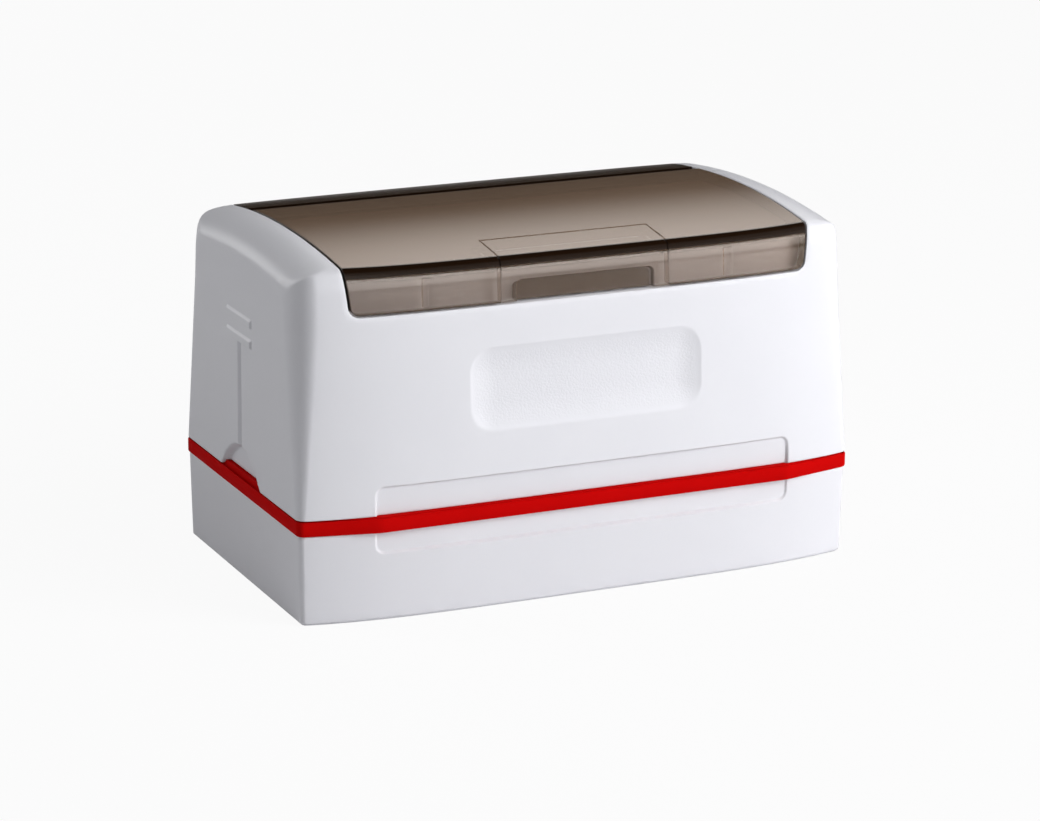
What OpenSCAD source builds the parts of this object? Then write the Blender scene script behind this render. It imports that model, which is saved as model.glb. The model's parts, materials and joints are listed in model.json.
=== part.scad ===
// Pre-inked hand stamp standing in its dust cap: a white housing with a smoked flip lid,
// a red guide frame, a spring-loaded skirt, and a die that is fed by its own ink pad.
// Millimetres, +Z up, the front faces -Y. The origin is the middle of the cap's underside.

/* [Body] */
// Width over the red band
body_w = 100; // [90:1:115]
// Depth over the red band, at the middle
body_d = 59.2; // [54:0.2:72]
// Height from the table to the crown of the lid
body_h = 60; // [56:0.5:75]
// How far the front and back walls fall away towards the ends
front_bow = 3.1; // [1.5:0.1:4]
// Shape of that fall: a higher power keeps the middle straighter
bow_power = 4.4; // [3:0.1:6]
// Lean of the front and back walls, in degrees
front_draft = 3.5; // [1:0.1:5]
// Lean of the two end walls, in degrees
end_draft = 0.5; // [0:0.1:1.5]
// Radius of the crowned top, front to back
arch_r = 170; // [130:5:300]
// Radius of the bend between the front wall and the top
bend_r = 1.5; // [1:0.1:2]
// Corner radius at the foot of the housing, at the band and at the cap
corner_low = 1.5; // [1:0.1:2.5]
// Width of the upright corner rounding where the lid begins
corner_wide = 7.2; // [4:0.2:9]
// Depth of the upright corner rounding where the lid begins
corner_deep = 4.6; // [3:0.2:5.5]
// How far the top falls at the ends
end_drop = 4.6; // [3:0.2:6]
// Wall of the housing
wall = 2; // [1.6:0.1:2.4]

/* [Dust cap] */
// Height of the cap
cap_h = 15.2; // [14.6:0.1:17]
// Wall of the cap
cap_wall = 1.8; // [1.4:0.1:2.2]
// Floor of the cap
cap_floor = 1.8; // [1.2:0.1:2.2]
// How far the cap's rim stands back from the band
cap_setback = 0.25; // [0.1:0.05:0.5]
// How much narrower the foot of the cap is than its rim, on each side
cap_taper = 0.3; // [0:0.05:0.6]
// Chamfer round the underside
foot_chamfer = 0.5; // [0.2:0.1:1]

/* [Guide frame] */
// Height of the red band
band_h = 2.6; // [2:0.1:4]
// Depth of the collar that the cap slides over
collar_h = 6; // [4:0.5:7]
// Height of the upstand inside the housing
upstand_h = 6.2; // [5:0.2:8]
// Wall of the collar and the upstand
ring_wall = 1.4; // [1.1:0.1:1.8]
// Distance of the grip recess from each end of the body
grip_end = 13; // [10:0.5:20]
// Height of the grip recess above the band
grip_up = 4.7; // [3:0.1:6]
// Height of the grip recess below the band
grip_down = 3.7; // [2.5:0.1:6]
// Depth of the grip recess behind the lip
grip_depth = 0.8; // [0.5:0.05:1]
// Corner radius of the grip recess
grip_r = 1.4; // [0.8:0.1:2]

/* [End walls] */
// Width of the notch in the foot of each end wall
notch_w = 18.6; // [12:0.2:24]
// Height of that notch
notch_h = 0.9; // [0.6:0.1:1.6]
// Radius of the thumb scoop over the notch
scoop_r = 8.6; // [7:0.1:10]
// Height of the scoop's top above the band
scoop_h = 5.3; // [4:0.1:7]
// Depth of the scoop
scoop_depth = 0.45; // [0.2:0.05:0.8]
// Width of the upright groove
groove_w = 0.9; // [0.6:0.1:1.5]
// Depth of the upright groove
groove_depth = 0.5; // [0.2:0.05:0.8]
// Height of the groove's top above the band
groove_top = 23.6; // [15:0.2:25]
// Length of the two raised marks
mark_l = 11.4; // [6:0.2:16]
// Height of each raised mark
mark_h = 1; // [0.6:0.1:1.6]
// How far the marks stand out
mark_proud = 0.3; // [0.15:0.05:0.6]
// Step from the lower mark to the upper one
mark_pitch = 3.4; // [2:0.1:4]

/* [Front plaque] */
// Width of the plaque
plaque_w = 41.6; // [30:0.2:60]
// Height of the plaque
plaque_h = 13.8; // [10:0.2:18]
// Height of its middle above the band
plaque_up = 19; // [16:0.5:21]
// Corner radius
plaque_r = 4.2; // [2:0.2:5]
// Depth
plaque_depth = 0.55; // [0.3:0.05:0.9]

/* [Lid] */
// Thickness of the smoked lid
lid_t = 2; // [1.6:0.1:2.4]
// Distance of the lid's edge at the crown from each end of the body
seam_in = 8.2; // [7:0.2:14]
// How much narrower the lid is at the foot of the flap, on each side
seam_taper = 1.1; // [0:0.1:1.5]
// Corner radius at the foot of the flap
seam_r = 1.6; // [1:0.1:2.5]
// Gap all round the lid
lid_gap = 0.3; // [0.2:0.05:0.5]
// Drop from the crown to the foot of the flap
lid_drop = 9.3; // [8:0.1:11]
// Gap between the flap and the wall behind it
flap_gap = 0.4; // [0.3:0.05:0.6]
// Distance of the hinge from the back of the body
hinge_back = 14.8; // [12.6:0.2:18]
// Radius of the hinge knuckle
knuckle_r = 1.5; // [1.4:0.05:1.8]
// How far the knuckle lies below the lid's surface
knuckle_sink = 0.08; // [0.05:0.01:0.2]
// Radius of the hinge pins
hinge_pin_r = 0.75; // [0.6:0.05:0.9]
// Length of each hinge pin on either side of the seam
hinge_pin_half = 3.4; // [2.5:0.1:3.6]
// Gap between the open lid and the rear cover
rear_gap = 0.45; // [0.4:0.05:0.8]
// Thickness of the deck under the lid
deck_t = 2.2; // [1.8:0.1:3]
// Width of the stiffening ribs inside the flap
rib_w = 1.6; // [1:0.1:2.4]
// Distance of those ribs from the middle
rib_x = 27; // [20:0.5:34]

/* [Latch] */
// Width of the latch tab
tab_w = 29.6; // [20:0.2:36]
// Distance of the tab's rear edge from the front of the body
tab_depth = 10.8; // [9.6:0.2:13]
// Slit round the tab
tab_gap = 0.3; // [0.2:0.05:0.4]
// Width of the finger catch
catch_w = 24.4; // [14:0.2:28]
// Height of the finger catch
catch_h = 3.4; // [2:0.1:4]
// Depth of the finger catch
catch_depth = 0.9; // [0.5:0.05:1.1]
// Radius of the latch pins
latch_pin_r = 0.5; // [0.4:0.05:0.6]
// Distance of the latch pins in front of the tab's rear edge
latch_back = 1.3; // [1.1:0.1:2]
// Length of each latch pin on either side of the slit
latch_pin_half = 2; // [1.5:0.1:3]
// Height of the bead that the tab snaps shut with
bead_r = 0.25; // [0.1:0.05:0.3]

/* [Skirt and springs] */
// How far the stamp travels when it is pressed
press_travel = 3.6; // [3.2:0.1:4]
// Wall of the skirt
skirt_wall = 1.5; // [1.2:0.1:1.8]
// Gap between the skirt and the floor of the cap
foot_gap = 0.8; // [0.6:0.1:1.2]
// Thickness of the skirt's stop flange
flange_t = 1.6; // [1.2:0.1:2]
// Outer radius of a return spring
spring_r = 3; // [2.5:0.1:3.2]
// Radius of the spring wire
wire_r = 0.3; // [0.25:0.05:0.4]
// Turns of a return spring
spring_turns = 6.5; // [5:0.5:8]
// Length of a return spring as fitted
spring_len = 20; // [17:0.5:22]
// Distance of the springs from the two ends of the body
spring_end = 10.5; // [10:0.5:13]
// Distance of the springs from the front and the back of the body
spring_in = 14.1; // [13.6:0.1:16]

/* [Die and ink] */
// How far the die stands out of its frame
die_proud = 0.8; // [0.5:0.1:1.2]
// Wall of the die frame
frame_wall = 1; // [0.8:0.1:1.3]
// Width of the lip that holds the die
lip_w = 1.2; // [0.8:0.1:1.6]
// Thickness of that lip
lip_t = 1; // [0.8:0.1:1.2]
// Thickness of the die's edge behind the lip
die_edge_t = 1.2; // [0.8:0.1:1.6]
// Thickness of the ink pad
pad_t = 6; // [5:0.5:6.5]
// Thickness of the carrier plate
plate_t = 2.5; // [2.3:0.1:3]
// Height of the carrier's screw bosses
boss_h = 4.2; // [3:0.1:5]
// Radius of the screw bosses
boss_r = 4; // [3.4:0.1:4.4]
// Distance of the screws from the two ends of the body
screw_end = 21; // [20:0.5:26]
// Distance of the screws from the middle, along the depth
screw_y = 11; // [9:0.5:13]
// Radius of the screw shank
screw_r = 1.3; // [1.1:0.05:1.5]
// Radius of the screw head
head_r = 2.5; // [2.2:0.1:2.8]
// Height of the screw head
head_h = 1.5; // [1.2:0.1:1.6]
// How deep a screw bites into the housing
screw_bite = 9; // [6:0.5:12]
// Distance of the ink ports from the middle
ink_x = 12; // [8:0.5:16]
// Outer radius of an ink tube
tube_r = 3; // [2.7:0.1:3.4]
// Bore radius of an ink tube
tube_bore = 2; // [1.5:0.1:2.2]
// Radius of an ink plug's head
plug_r = 4; // [3.6:0.1:4.6]
// Thickness of an ink plug's head
plug_t = 0.9; // [0.7:0.1:1]
// Length of an ink plug's stem
plug_l = 5; // [3:0.5:8]

/* [Label card] */
// Thickness of the card
card_t = 0.3; // [0.2:0.05:0.4]
// Distance of the card from each edge of the lid
card_side = 3.8; // [2.8:0.2:17]
// Distance of the card from the latch tab and from the hinge
card_gap = 2.8; // [2.4:0.1:6]

/* [Fits] */
// Clearance of the cap on the collar
cap_fit = 0.25; // [0.15:0.05:0.4]
// Clearance of the upstand in the housing
seat_fit = 0.2; // [0.1:0.05:0.3]
// Clearance of the sliding skirt
slide_fit = 0.25; // [0.15:0.05:0.4]
// Clearance of the die frame in the skirt
frame_fit = 0.4; // [0.3:0.05:0.6]
// Clearance of pieces that are pushed together and stay
push_fit = 0.1; // [0.05:0.01:0.15]
// Radial clearance of a pin that turns
pin_fit = 0.06; // [0.03:0.01:0.1]
// Radial clearance of a pin that stays
pin_seat = 0.03; // [0.01:0.01:0.05]

/* [Hidden] */
$fn = 48;
ENDS = [-1, 1];
SPRINGS = [["front_left", -1, -1], ["front_right", 1, -1], ["back_left", -1, 1], ["back_right", 1, 1]];
SIDES = [["left", -1], ["right", 1]];

// Steps of the faceted body form: along the wall, round a corner, round the bend, over the arch,
// round a post inside the housing and round the whole circle of the card's curve
wall_steps = 5;
corner_steps = 4;
bend_steps = 3;
arch_steps = 10;
post_sides = 24;
card_sides = 360;
// Sides and rings of the spring wire
wire_sides = 6;
wire_rings = 8;
// Overrun of cutting shapes past the faces they cut
cut = 1;

white = [0.93, 0.93, 0.95];
red = [0.75, 0.02, 0.02];
smoke = [0.45, 0.38, 0.32, 0.8];
charcoal = [0.2, 0.2, 0.22];
steel = [0.7, 0.71, 0.73];

hw = body_w / 2;
hd = body_d / 2;
seam_x = hw - seam_in;
grip_half = hw - grip_end;
spring_x = hw - spring_end;
spring_y = hd - spring_in;
screw_x = hw - screw_end;
rim_z = cap_h + band_h;
flap_z = body_h - lid_drop;
// Level at which the upright corners have reached their full rounding, below the bend at the ends
corner_top = flap_z - lid_drop / 4;
front_lean = tan(front_draft);
end_lean = tan(end_draft);

// Insets of the deck under the lid, of its underside and of the wall behind the flap
deck_in = lid_t + card_t + 2 * push_fit + flap_gap / 2;
flap_in = lid_t + flap_gap;
ceiling_in = deck_in + deck_t;
// The hollow of the housing: the ledge where it narrows to clear the flap, its upper half sizes and ceiling
ledge_t = wall + 1;
ledge_z = flap_z - lid_gap - ledge_t;
hollow_hw = end_x(flap_z) - wall - corner_low;
hollow_hd = wall_y(body_h) - flap_in - wall - bow_at(seam_x, hw);
ceiling_z = arch_z(hollow_hd) - ceiling_in;
post_root = ceiling_z + deck_t / 2;

// The collar under the band, the upstand over it, and the opening that guides the skirt
collar_hw = hw - cap_setback - cap_wall - cap_taper - cap_fit;
collar_hd = hd - front_bow - cap_setback - cap_wall - cap_taper - cap_fit;
upstand_hw = hw - wall - upstand_h * end_lean - seat_fit;
upstand_hd = hd - front_bow - wall - upstand_h * front_lean - seat_fit;
guide_hw = min(collar_hw, upstand_hw) - ring_wall;
guide_hd = min(collar_hd, upstand_hd) - ring_wall;
ring_r = 3;
flange_r = 4;

// The skirt, its stop flange, the die frame and what it holds, from the outside in
skirt_hw = guide_hw - slide_fit;
skirt_hd = guide_hd - slide_fit;
stop_z = rim_z + upstand_h;
flange_top = stop_z + flange_t;
flange_rise = upstand_h + flange_t + press_travel;
flange_hw = hw - wall - flange_rise * end_lean - frame_fit;
flange_hd = hd - front_bow - wall - flange_rise * front_lean - frame_fit;
lug_margin = 0.8;
lug_w = 2 * (spring_r + lug_margin);
spring_top = flange_top + spring_len;
spring_mean = spring_r - wire_r;
spigot_r = spring_mean - wire_r - frame_fit;
frame_hw = skirt_hw - skirt_wall - frame_fit;
frame_hd = skirt_hd - skirt_wall - frame_fit;
bed_hw = frame_hw - frame_wall;
bed_hd = frame_hd - frame_wall;
bed_r = 1.5;
// Least radii that the wall of a set-in shape may leave of a corner and of a bend
least_corner = 0.6;
least_bend = 0.5;

// Heights of the die stack at rest
skirt_z = cap_floor + foot_gap;
die_z = skirt_z + press_travel;
lip_z = die_z + die_proud;
die_top = lip_z + lip_t + die_edge_t;
pad_top = die_top + pad_t;
plate_top = pad_top + plate_t;
boss_top = plate_top + boss_h;

// Axes of the lid hinge and of the latch, and the edges of the card between them
hinge_y = hd - hinge_back;
tab_y = hd - tab_depth;
card_front = tab_y - card_gap;
card_rear = hinge_y - card_gap;
card_w = 2 * (seam_x - card_side);
hinge_z = arch_z(hinge_y) - knuckle_r - knuckle_sink;
latch_y = -(tab_y + latch_back);
latch_z = arch_z(latch_y) - lid_t / 2;
latch_x = (tab_w + tab_gap) / 2;
rear_y = hinge_y + knuckle_r + knuckle_sink + rear_gap;
hinge_x = seam_at(hinge_z) + lid_gap / 2;

// Floor of an ink plug's seat in the deck
plug_z = body_h - deck_in - plug_t - push_fit;
// Depth and wall of the sockets that hold the ink tubes, and depth of the spring spigots
socket_h = 3;
socket_wall = 1.2;
// Room left under the tip of a screw, and the slots in its head
drill_room = 1;
slot_w = 0.5;
slot_half = 1.5;

function lerp(a, b, t) = a + (b - a) * t;
function arch_z(y) = body_h - arch_r + sqrt(arch_r * arch_r - y * y);
function bow_at(x, a) = front_bow * pow(min(1, abs(x) / a), bow_power);
function bow_slope(x, a) = front_bow * bow_power / a * pow(abs(x) / a, bow_power - 1);
function end_x(z) = hw - (z - rim_z) * end_lean;
function wall_y(z) = hd - (z - rim_z) * front_lean;
function seam_at(z) = seam_x - seam_taper * (body_h - z) / lid_drop;
function corner_share(z) = min(1, max(0, (z - rim_z) / (corner_top - rim_z)));
function corner_x(z) = lerp(corner_low, corner_wide, corner_share(z));

// A quarter of the plan outline: the bowed front, then the corner arc tangent to it and to the end
function quadrant(a, b, r) =
    let (first = atan(bow_slope(a - r, a)))
    let (turn = atan(bow_slope(a - r * (1 - sin(first)), a)))
    let (x_end = a - r * (1 - sin(turn)))
    let (y_mid = bow_at(x_end, a) - b + r * cos(turn))
    concat(
        [for (i = [0 : wall_steps]) let (x = x_end * sin(90 * i / wall_steps)) [x, bow_at(x, a) - b]],
        [for (j = [1 : corner_steps]) let (t = lerp(turn, 90, j / corner_steps))
            [a - r + r * sin(t), y_mid - r * cos(t)]]);

// The whole plan outline, counterclockwise, set in from the band by inset
function outline(inset) =
    let (q = quadrant(hw - inset, hd - inset, max(least_corner, corner_low - inset / 2)))
    let (n = len(q))
    concat(q,
        [for (i = [n - 1 : -1 : 1]) [q[i][0], -q[i][1]]],
        [for (p = q) [-p[0], -p[1]]],
        [for (i = [n - 1 : -1 : 1]) [-q[i][0], q[i][1]]]);

// Front half of a cross-section of the body: foot, corner top, then the bend up to the arch
function half_section(foot, shift, top, r) =
    let (n = sqrt(1 + front_lean * front_lean))
    let (k = shift - hd - rim_z * front_lean + r * n)
    let (c = top - arch_r)
    let (b = k * front_lean - c)
    let (root = b * b - n * n * (k * k + c * c - (arch_r - r) * (arch_r - r)))
    let (z = (sqrt(root) - b) / (n * n))
    let (y = k + front_lean * z)
    let (a_wall = 180 - atan(front_lean))
    let (a_arch = atan2(z - c, y))
    concat([foot, [shift - wall_y(corner_top), corner_top]],
        [for (i = [0 : bend_steps]) let (a = lerp(a_wall, a_arch, i / bend_steps))
            [y + r * cos(a), z + r * sin(a)]]);

// A whole cross-section: the front half, the arch and the back half
function section(foot, shift, top, r) =
    let (front = half_section(foot, shift, top, r))
    let (n = len(front))
    let (y_end = front[n - 1][0])
    concat(front,
        [for (i = [1 : arch_steps - 1]) let (y = y_end * (1 - 2 * i / arch_steps))
            [y, top - arch_r + sqrt(arch_r * arch_r - y * y)]],
        [for (i = [n - 1 : -1 : 0]) [-front[i][0], front[i][1]]]);

// Place across the width: s runs along the wall from 0 to 1, tau then turns the corner to 90
function station_x(s, tau, z, end_in) =
    let (flat = end_x(z) - end_in - corner_x(z))
    s < 1 ? flat * s : flat + corner_x(z) * sin(tau);

// One ring of the body form on the left or right side, set in from the outside
function form_ring(side, stop, wall_in, top_in, end_in, drop) =
    let (s = stop[0], tau = stop[1], e = 1 - cos(stop[1]))
    let (foot_z = rim_z - drop)
    let (foot_y = wall_y(foot_z) - wall_in - corner_low * e
        - bow_at(station_x(s, tau, rim_z, end_in), hw))
    let (shift = wall_in + corner_deep * e + bow_at(station_x(s, tau, corner_top, end_in), hw))
    let (r = max(least_bend, bend_r - wall_in / 2) + bend_r * e)
    [for (p = section([-foot_y, foot_z], shift, body_h - top_in - end_drop * e, r))
        [side * station_x(s, tau, p[1], end_in), p[0], p[1]]];

// A solid through rings that are clockwise as seen from the end that they run to
module loft(rings) {
    n = len(rings[0]);
    m = len(rings);
    sides = [for (i = [0 : m - 2], j = [0 : n - 1], half = [0, 1])
        let (a = i * n + j, b = i * n + (j + 1) % n)
        half == 0 ? [a, b, b + n] : [a, b + n, a + n]];
    first = [for (j = [n - 1 : -1 : 0]) j];
    last = [for (j = [0 : n - 1]) (m - 1) * n + j];
    polyhedron([for (ring = rings) each ring], concat(sides, [first, last]));
}

// The body's outer form, set in by the given amounts and carried down past the rim by drop
module form(wall_in = 0, top_in = 0, end_in = 0, drop = 0) {
    stops = concat(
        [for (i = [0 : wall_steps]) [sin(90 * i / wall_steps), 0]],
        [for (i = [1 : corner_steps]) [1, 90 * i / corner_steps]]);
    n = len(stops);
    loft(concat(
        [for (i = [n - 1 : -1 : 1]) form_ring(-1, stops[i], wall_in, top_in, end_in, drop)],
        [for (stop = stops) form_ring(1, stop, wall_in, top_in, end_in, drop)]));
}

// The solid under a crowned surface that lies depth below the top, as long as the body
module crowned_block(depth) {
    crown = [for (i = [-arch_steps : arch_steps]) let (y = hd * i / arch_steps) [y, arch_z(y) - depth]];
    translate([-hw, 0, 0]) rotate([90, 0, 90]) linear_extrude(body_w)
        polygon(concat(crown, [[hd, rim_z], [-hd, rim_z]]));
}

// What a smoked piece covers: walls set in by wall_in and a crown set in by top_in
module covered(wall_in, top_in) {
    intersection() {
        form(wall_in, top_in / 2);
        crowned_block(top_in);
    }
}

// The hollow of the housing: it follows the walls up to the ledge and has a flat ceiling over it
module hollow() {
    intersection() {
        form(wall, ceiling_in, wall, cut);
        translate([-hw, -hd, 0]) cube([body_w, body_d, ledge_z]);
    }
    block(hollow_hw, hollow_hd, corner_deep, ledge_z - cut, ceiling_z);
}

// A moulded shell: its curved walls are facets, and bores are drilled in it afterwards
module shell() {
    resize([0, 0, 0]) children();
}

// A straight prism of the plan outline
module outline_prism(inset, z0, z1) {
    translate([0, 0, z0]) linear_extrude(z1 - z0) polygon(outline(inset));
}

// A flat rectangle with round corners, given by its half sizes
module round_rect(a, b, r) {
    square([2 * a, 2 * (b - r)], center = true);
    square([2 * (a - r), 2 * b], center = true);
    for (x = ENDS, y = ENDS) translate([x * (a - r), y * (b - r)]) circle(r);
}

// A block with round upright edges, given by its half sizes and its levels
module block(a, b, r, z0, z1) {
    translate([0, 0, z0]) linear_extrude(z1 - z0) round_rect(a, b, r);
}

// A block with a straight opening through it
module ring(a, b, r, inner_a, inner_b, inner_r, z0, z1) {
    difference() {
        block(a, b, r, z0, z1);
        block(inner_a, inner_b, inner_r, z0 - cut, z1 + cut);
    }
}

// The lid seen from the front, widened by grow, from one depth to another
module seam_prism(grow, y0, y1) {
    low = seam_x - seam_taper + grow;
    high = seam_x + grow;
    z0 = flap_z - grow;
    r = seam_r + grow;
    arc = [for (i = [0 : corner_steps]) let (t = 90 * i / corner_steps)
        [low - r + r * sin(t), z0 + r - r * cos(t)]];
    right = concat(arc, [[high, body_h + cut]]);
    n = len(right);
    left = [for (i = [n - 1 : -1 : 0]) [-right[i][0], right[i][1]]];
    translate([0, y1, 0]) rotate([90, 0, 0]) linear_extrude(y1 - y0) polygon(concat(right, left));
}

// The space of the latch tab, widened by grow
module tab_block(grow) {
    half = tab_w / 2 + grow;
    translate([-half, -hd - cut, flap_z - grow])
        cube([2 * half, hd + cut - tab_y + grow, lid_drop + grow + cut]);
}

// Puts children on an end wall: x points out, z runs up the wall from the band
module on_end(side) {
    translate([side * hw, 0, rim_z]) rotate([0, -side * end_draft, 0])
        mirror([side < 0 ? 1 : 0, 0, 0]) children();
}

// Puts children on the front wall: y points in, z runs up the wall from the band
module on_front() {
    translate([0, -hd, rim_z]) rotate([-front_draft, 0, 0]) children();
}

// A round bar along the width
module bar(r, length, y, z, x = 0) {
    translate([x, y, z]) rotate([0, 90, 0]) cylinder(h = length, r = r, center = true);
}

// The grip recess in front and at the back, between two levels
module grip_cut(z0, z1) {
    for (side = ENDS) intersection() {
        translate([0, side * hd, 0]) rotate([90, 0, 0])
            translate([0, 0, -hd / 2]) linear_extrude(hd)
            translate([0, (z0 + z1) / 2]) round_rect(grip_half, (z1 - z0) / 2, grip_r);
        translate([0, 0, z0]) linear_extrude(z1 - z0) difference() {
            translate([0, side * hd]) square([body_w, hd], center = true);
            polygon(grip_floor());
        }
    }
}

// Plan of the recess floor: half as bowed as the wall
function grip_floor() =
    let (steps = 2 * wall_steps)
    let (front = [for (i = [0 : steps]) let (x = hw * (2 * i / steps - 1))
        [x, grip_depth - hd + bow_at(x, hw) / 2]])
    concat(front, [for (i = [steps : -1 : 0]) [front[i][0], -front[i][1]]]);

// The notch in the foot of an end wall, seen from the end, shrunk by fit
module notch_prism(fit, depth) {
    half = notch_w / 2 - fit;
    top = notch_h - fit;
    rotate([90, 0, 90]) translate([0, 0, -depth]) linear_extrude(depth + (fit > 0 ? 0 : cut))
        polygon([[-half, -fit], [half, -fit], [half - top, top], [top - half, top]]);
}

// The marks on an end wall: what is cut in, and what stands out
module end_cuts() {
    notch_prism(0, 2 * wall);
    translate([-scoop_depth, 0, scoop_h - scoop_r]) rotate([0, 90, 0])
        cylinder(h = wall, r = scoop_r);
    translate([-groove_depth, -groove_w / 2, scoop_h / 2])
        cube([wall, groove_w, groove_top - scoop_h / 2]);
}

module end_marks() {
    for (i = [0, 1]) translate([-wall / 2, -mark_l / 2, groove_top + i * mark_pitch])
        cube([wall / 2 + mark_proud, mark_l, mark_h]);
}

// Screw bosses, spring seats and ink sockets that hang from the deck
module housing_posts() {
    $fn = post_sides;
    for (x = ENDS, y = ENDS) {
        translate([x * screw_x, y * screw_y, boss_top])
            cylinder(h = post_root - boss_top, r = boss_r);
        translate([x * spring_x, y * spring_y, spring_top])
            cylinder(h = post_root - spring_top, r = spring_r + wire_r);
        translate([x * spring_x, y * spring_y, spring_top - socket_h])
            cylinder(h = socket_h + cut, r = spigot_r);
    }
    for (x = ENDS) translate([x * ink_x, 0, ceiling_z - socket_h])
        cylinder(h = socket_h + deck_t / 2, r = tube_r + socket_wall);
}

module housing_holes() {
    for (x = ENDS, y = ENDS) translate([x * screw_x, y * screw_y, boss_top - cut])
        cylinder(h = cut + screw_bite + drill_room, r = screw_r + pin_seat);
    for (x = ENDS)
        bar(hinge_pin_r + pin_seat, 2 * (hinge_pin_half + push_fit), hinge_y, hinge_z, x * hinge_x);
    for (x = ENDS) translate([x * ink_x, 0, 0]) {
        translate([0, 0, plug_z]) cylinder(h = deck_in, r = plug_r + push_fit);
        translate([0, 0, ceiling_z - cut]) cylinder(h = plug_z - ceiling_z + 2 * cut, r = tube_bore);
        translate([0, 0, ceiling_z - socket_h - cut])
            cylinder(h = socket_h + cut, r = tube_r + push_fit);
    }
}

module dust_cap() {
    foot = cap_setback + cap_taper;
    levels = [[0, foot + foot_chamfer], [foot_chamfer, foot], [cap_h, cap_setback]];
    color(white) difference() {
        loft([for (level = levels) let (plan = outline(level[1]))
            [for (i = [len(plan) - 1 : -1 : 0]) [plan[i][0], plan[i][1], level[0]]]]);
        outline_prism(foot + cap_wall, cap_floor, cap_h + cut);
        grip_cut(cap_h - grip_down, cap_h + grip_r + cut);
    }
}

module guide_frame() {
    color(red) {
        difference() {
            translate([0, 0, cap_h]) linear_extrude(band_h) union() {
                polygon(outline(0));
                square([2 * grip_half, body_d], center = true);
            }
            block(guide_hw, guide_hd, ring_r, cap_h - cut, rim_z + cut);
        }
        ring(collar_hw, collar_hd, ring_r, guide_hw, guide_hd, ring_r, cap_h - collar_h, cap_h);
        ring(upstand_hw, upstand_hd, ring_r, guide_hw, guide_hd, ring_r, rim_z, stop_z);
        for (side = ENDS) on_end(side) notch_prism(push_fit, wall);
    }
}

module housing() {
    color(white) difference() {
        shell() union() {
            difference() {
                form();
                difference() {
                    seam_prism(lid_gap, -body_d, body_d);
                    covered(flap_in, deck_in);
                }
                hollow();
                grip_cut(rim_z - grip_r - cut, rim_z + grip_up);
                on_front() translate([0, plaque_depth, plaque_up]) rotate([90, 0, 0])
                    linear_extrude(wall) round_rect(plaque_w / 2, plaque_h / 2, plaque_r);
                for (side = ENDS) on_end(side) end_cuts();
                bar(knuckle_r + lid_gap, 2 * (seam_x + lid_gap), hinge_y, hinge_z);
            }
            for (side = ENDS) on_end(side) end_marks();
            housing_posts();
        }
        housing_holes();
    }
}

module rear_cover() {
    color(smoke) shell() intersection() {
        difference() {
            form();
            covered(flap_in - push_fit, deck_in - push_fit);
        }
        seam_prism(0, rear_y, body_d);
    }
}

module lid() {
    color(smoke) difference() {
        shell() difference() {
            union() {
                intersection() {
                    union() {
                        difference() {
                            form();
                            covered(lid_t, lid_t);
                        }
                        for (side = ENDS) lid_rib(side);
                    }
                    seam_prism(0, -body_d, hinge_y - knuckle_r / 3);
                }
                bar(knuckle_r, 2 * seam_at(hinge_z - knuckle_r), hinge_y, hinge_z);
            }
            tab_block(tab_gap);
        }
        for (side = ENDS) {
            bar(hinge_pin_r + pin_fit, 2 * (hinge_pin_half + lid_gap), hinge_y, hinge_z, side * hinge_x);
            bar(latch_pin_r + pin_fit, 2 * (latch_pin_half + tab_gap), latch_y, latch_z, side * latch_x);
        }
    }
}

// A stiffening rib inside the flap
module lid_rib(side) {
    on_front() translate([side * rib_x - rib_w / 2, lid_t - push_fit, flap_z - rim_z])
        cube([rib_w, flap_gap / 2 + push_fit + bow_at(rib_x, hw), lid_drop / 2]);
}

module lid_latch() {
    bead_z = flap_z + catch_h / 2;
    color(smoke) difference() {
        shell() difference() {
            union() {
                intersection() {
                    difference() {
                        form();
                        covered(lid_t, lid_t);
                    }
                    tab_block(0);
                }
                bar(bead_r, catch_w / 2, lid_t - wall_y(bead_z), bead_z);
            }
            on_front() translate([-catch_w / 2, -cut, flap_z - rim_z - cut])
                cube([catch_w, cut + catch_depth, catch_h + cut]);
        }
        for (side = ENDS)
            bar(latch_pin_r + pin_seat, 2 * (latch_pin_half + push_fit), latch_y, latch_z, side * latch_x);
    }
}

module lid_hinge_pin(side) {
    color(steel) bar(hinge_pin_r, 2 * hinge_pin_half, hinge_y, hinge_z, side * hinge_x);
}

module latch_pin(side) {
    color(steel) bar(latch_pin_r, 2 * latch_pin_half, latch_y, latch_z, side * latch_x);
}

module label_card() {
    low = body_h - arch_r - deck_in + push_fit / 2;
    color("ivory") translate([card_w / 2, 0, 0]) rotate([0, -90, 0]) linear_extrude(card_w)
        intersection() {
            difference() {
                translate([low + card_t, 0]) circle(arch_r, $fn = card_sides);
                translate([low, 0]) circle(arch_r, $fn = card_sides);
            }
            translate([rim_z, -card_front]) square([body_h, card_front + card_rear]);
        }
}

module ink_plug(side) {
    color(charcoal) translate([side * ink_x, 0, plug_z]) {
        cylinder(h = plug_t, r = plug_r);
        translate([0, 0, -plug_l]) cylinder(h = plug_l + plug_t / 2, r = tube_bore - push_fit);
    }
}

module ink_tube(side) {
    color("gainsboro") translate([side * ink_x, 0, plate_top]) difference() {
        cylinder(h = ceiling_z - plate_top - push_fit, r = tube_r);
        translate([0, 0, -cut]) cylinder(h = body_h, r = tube_bore);
    }
}

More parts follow.
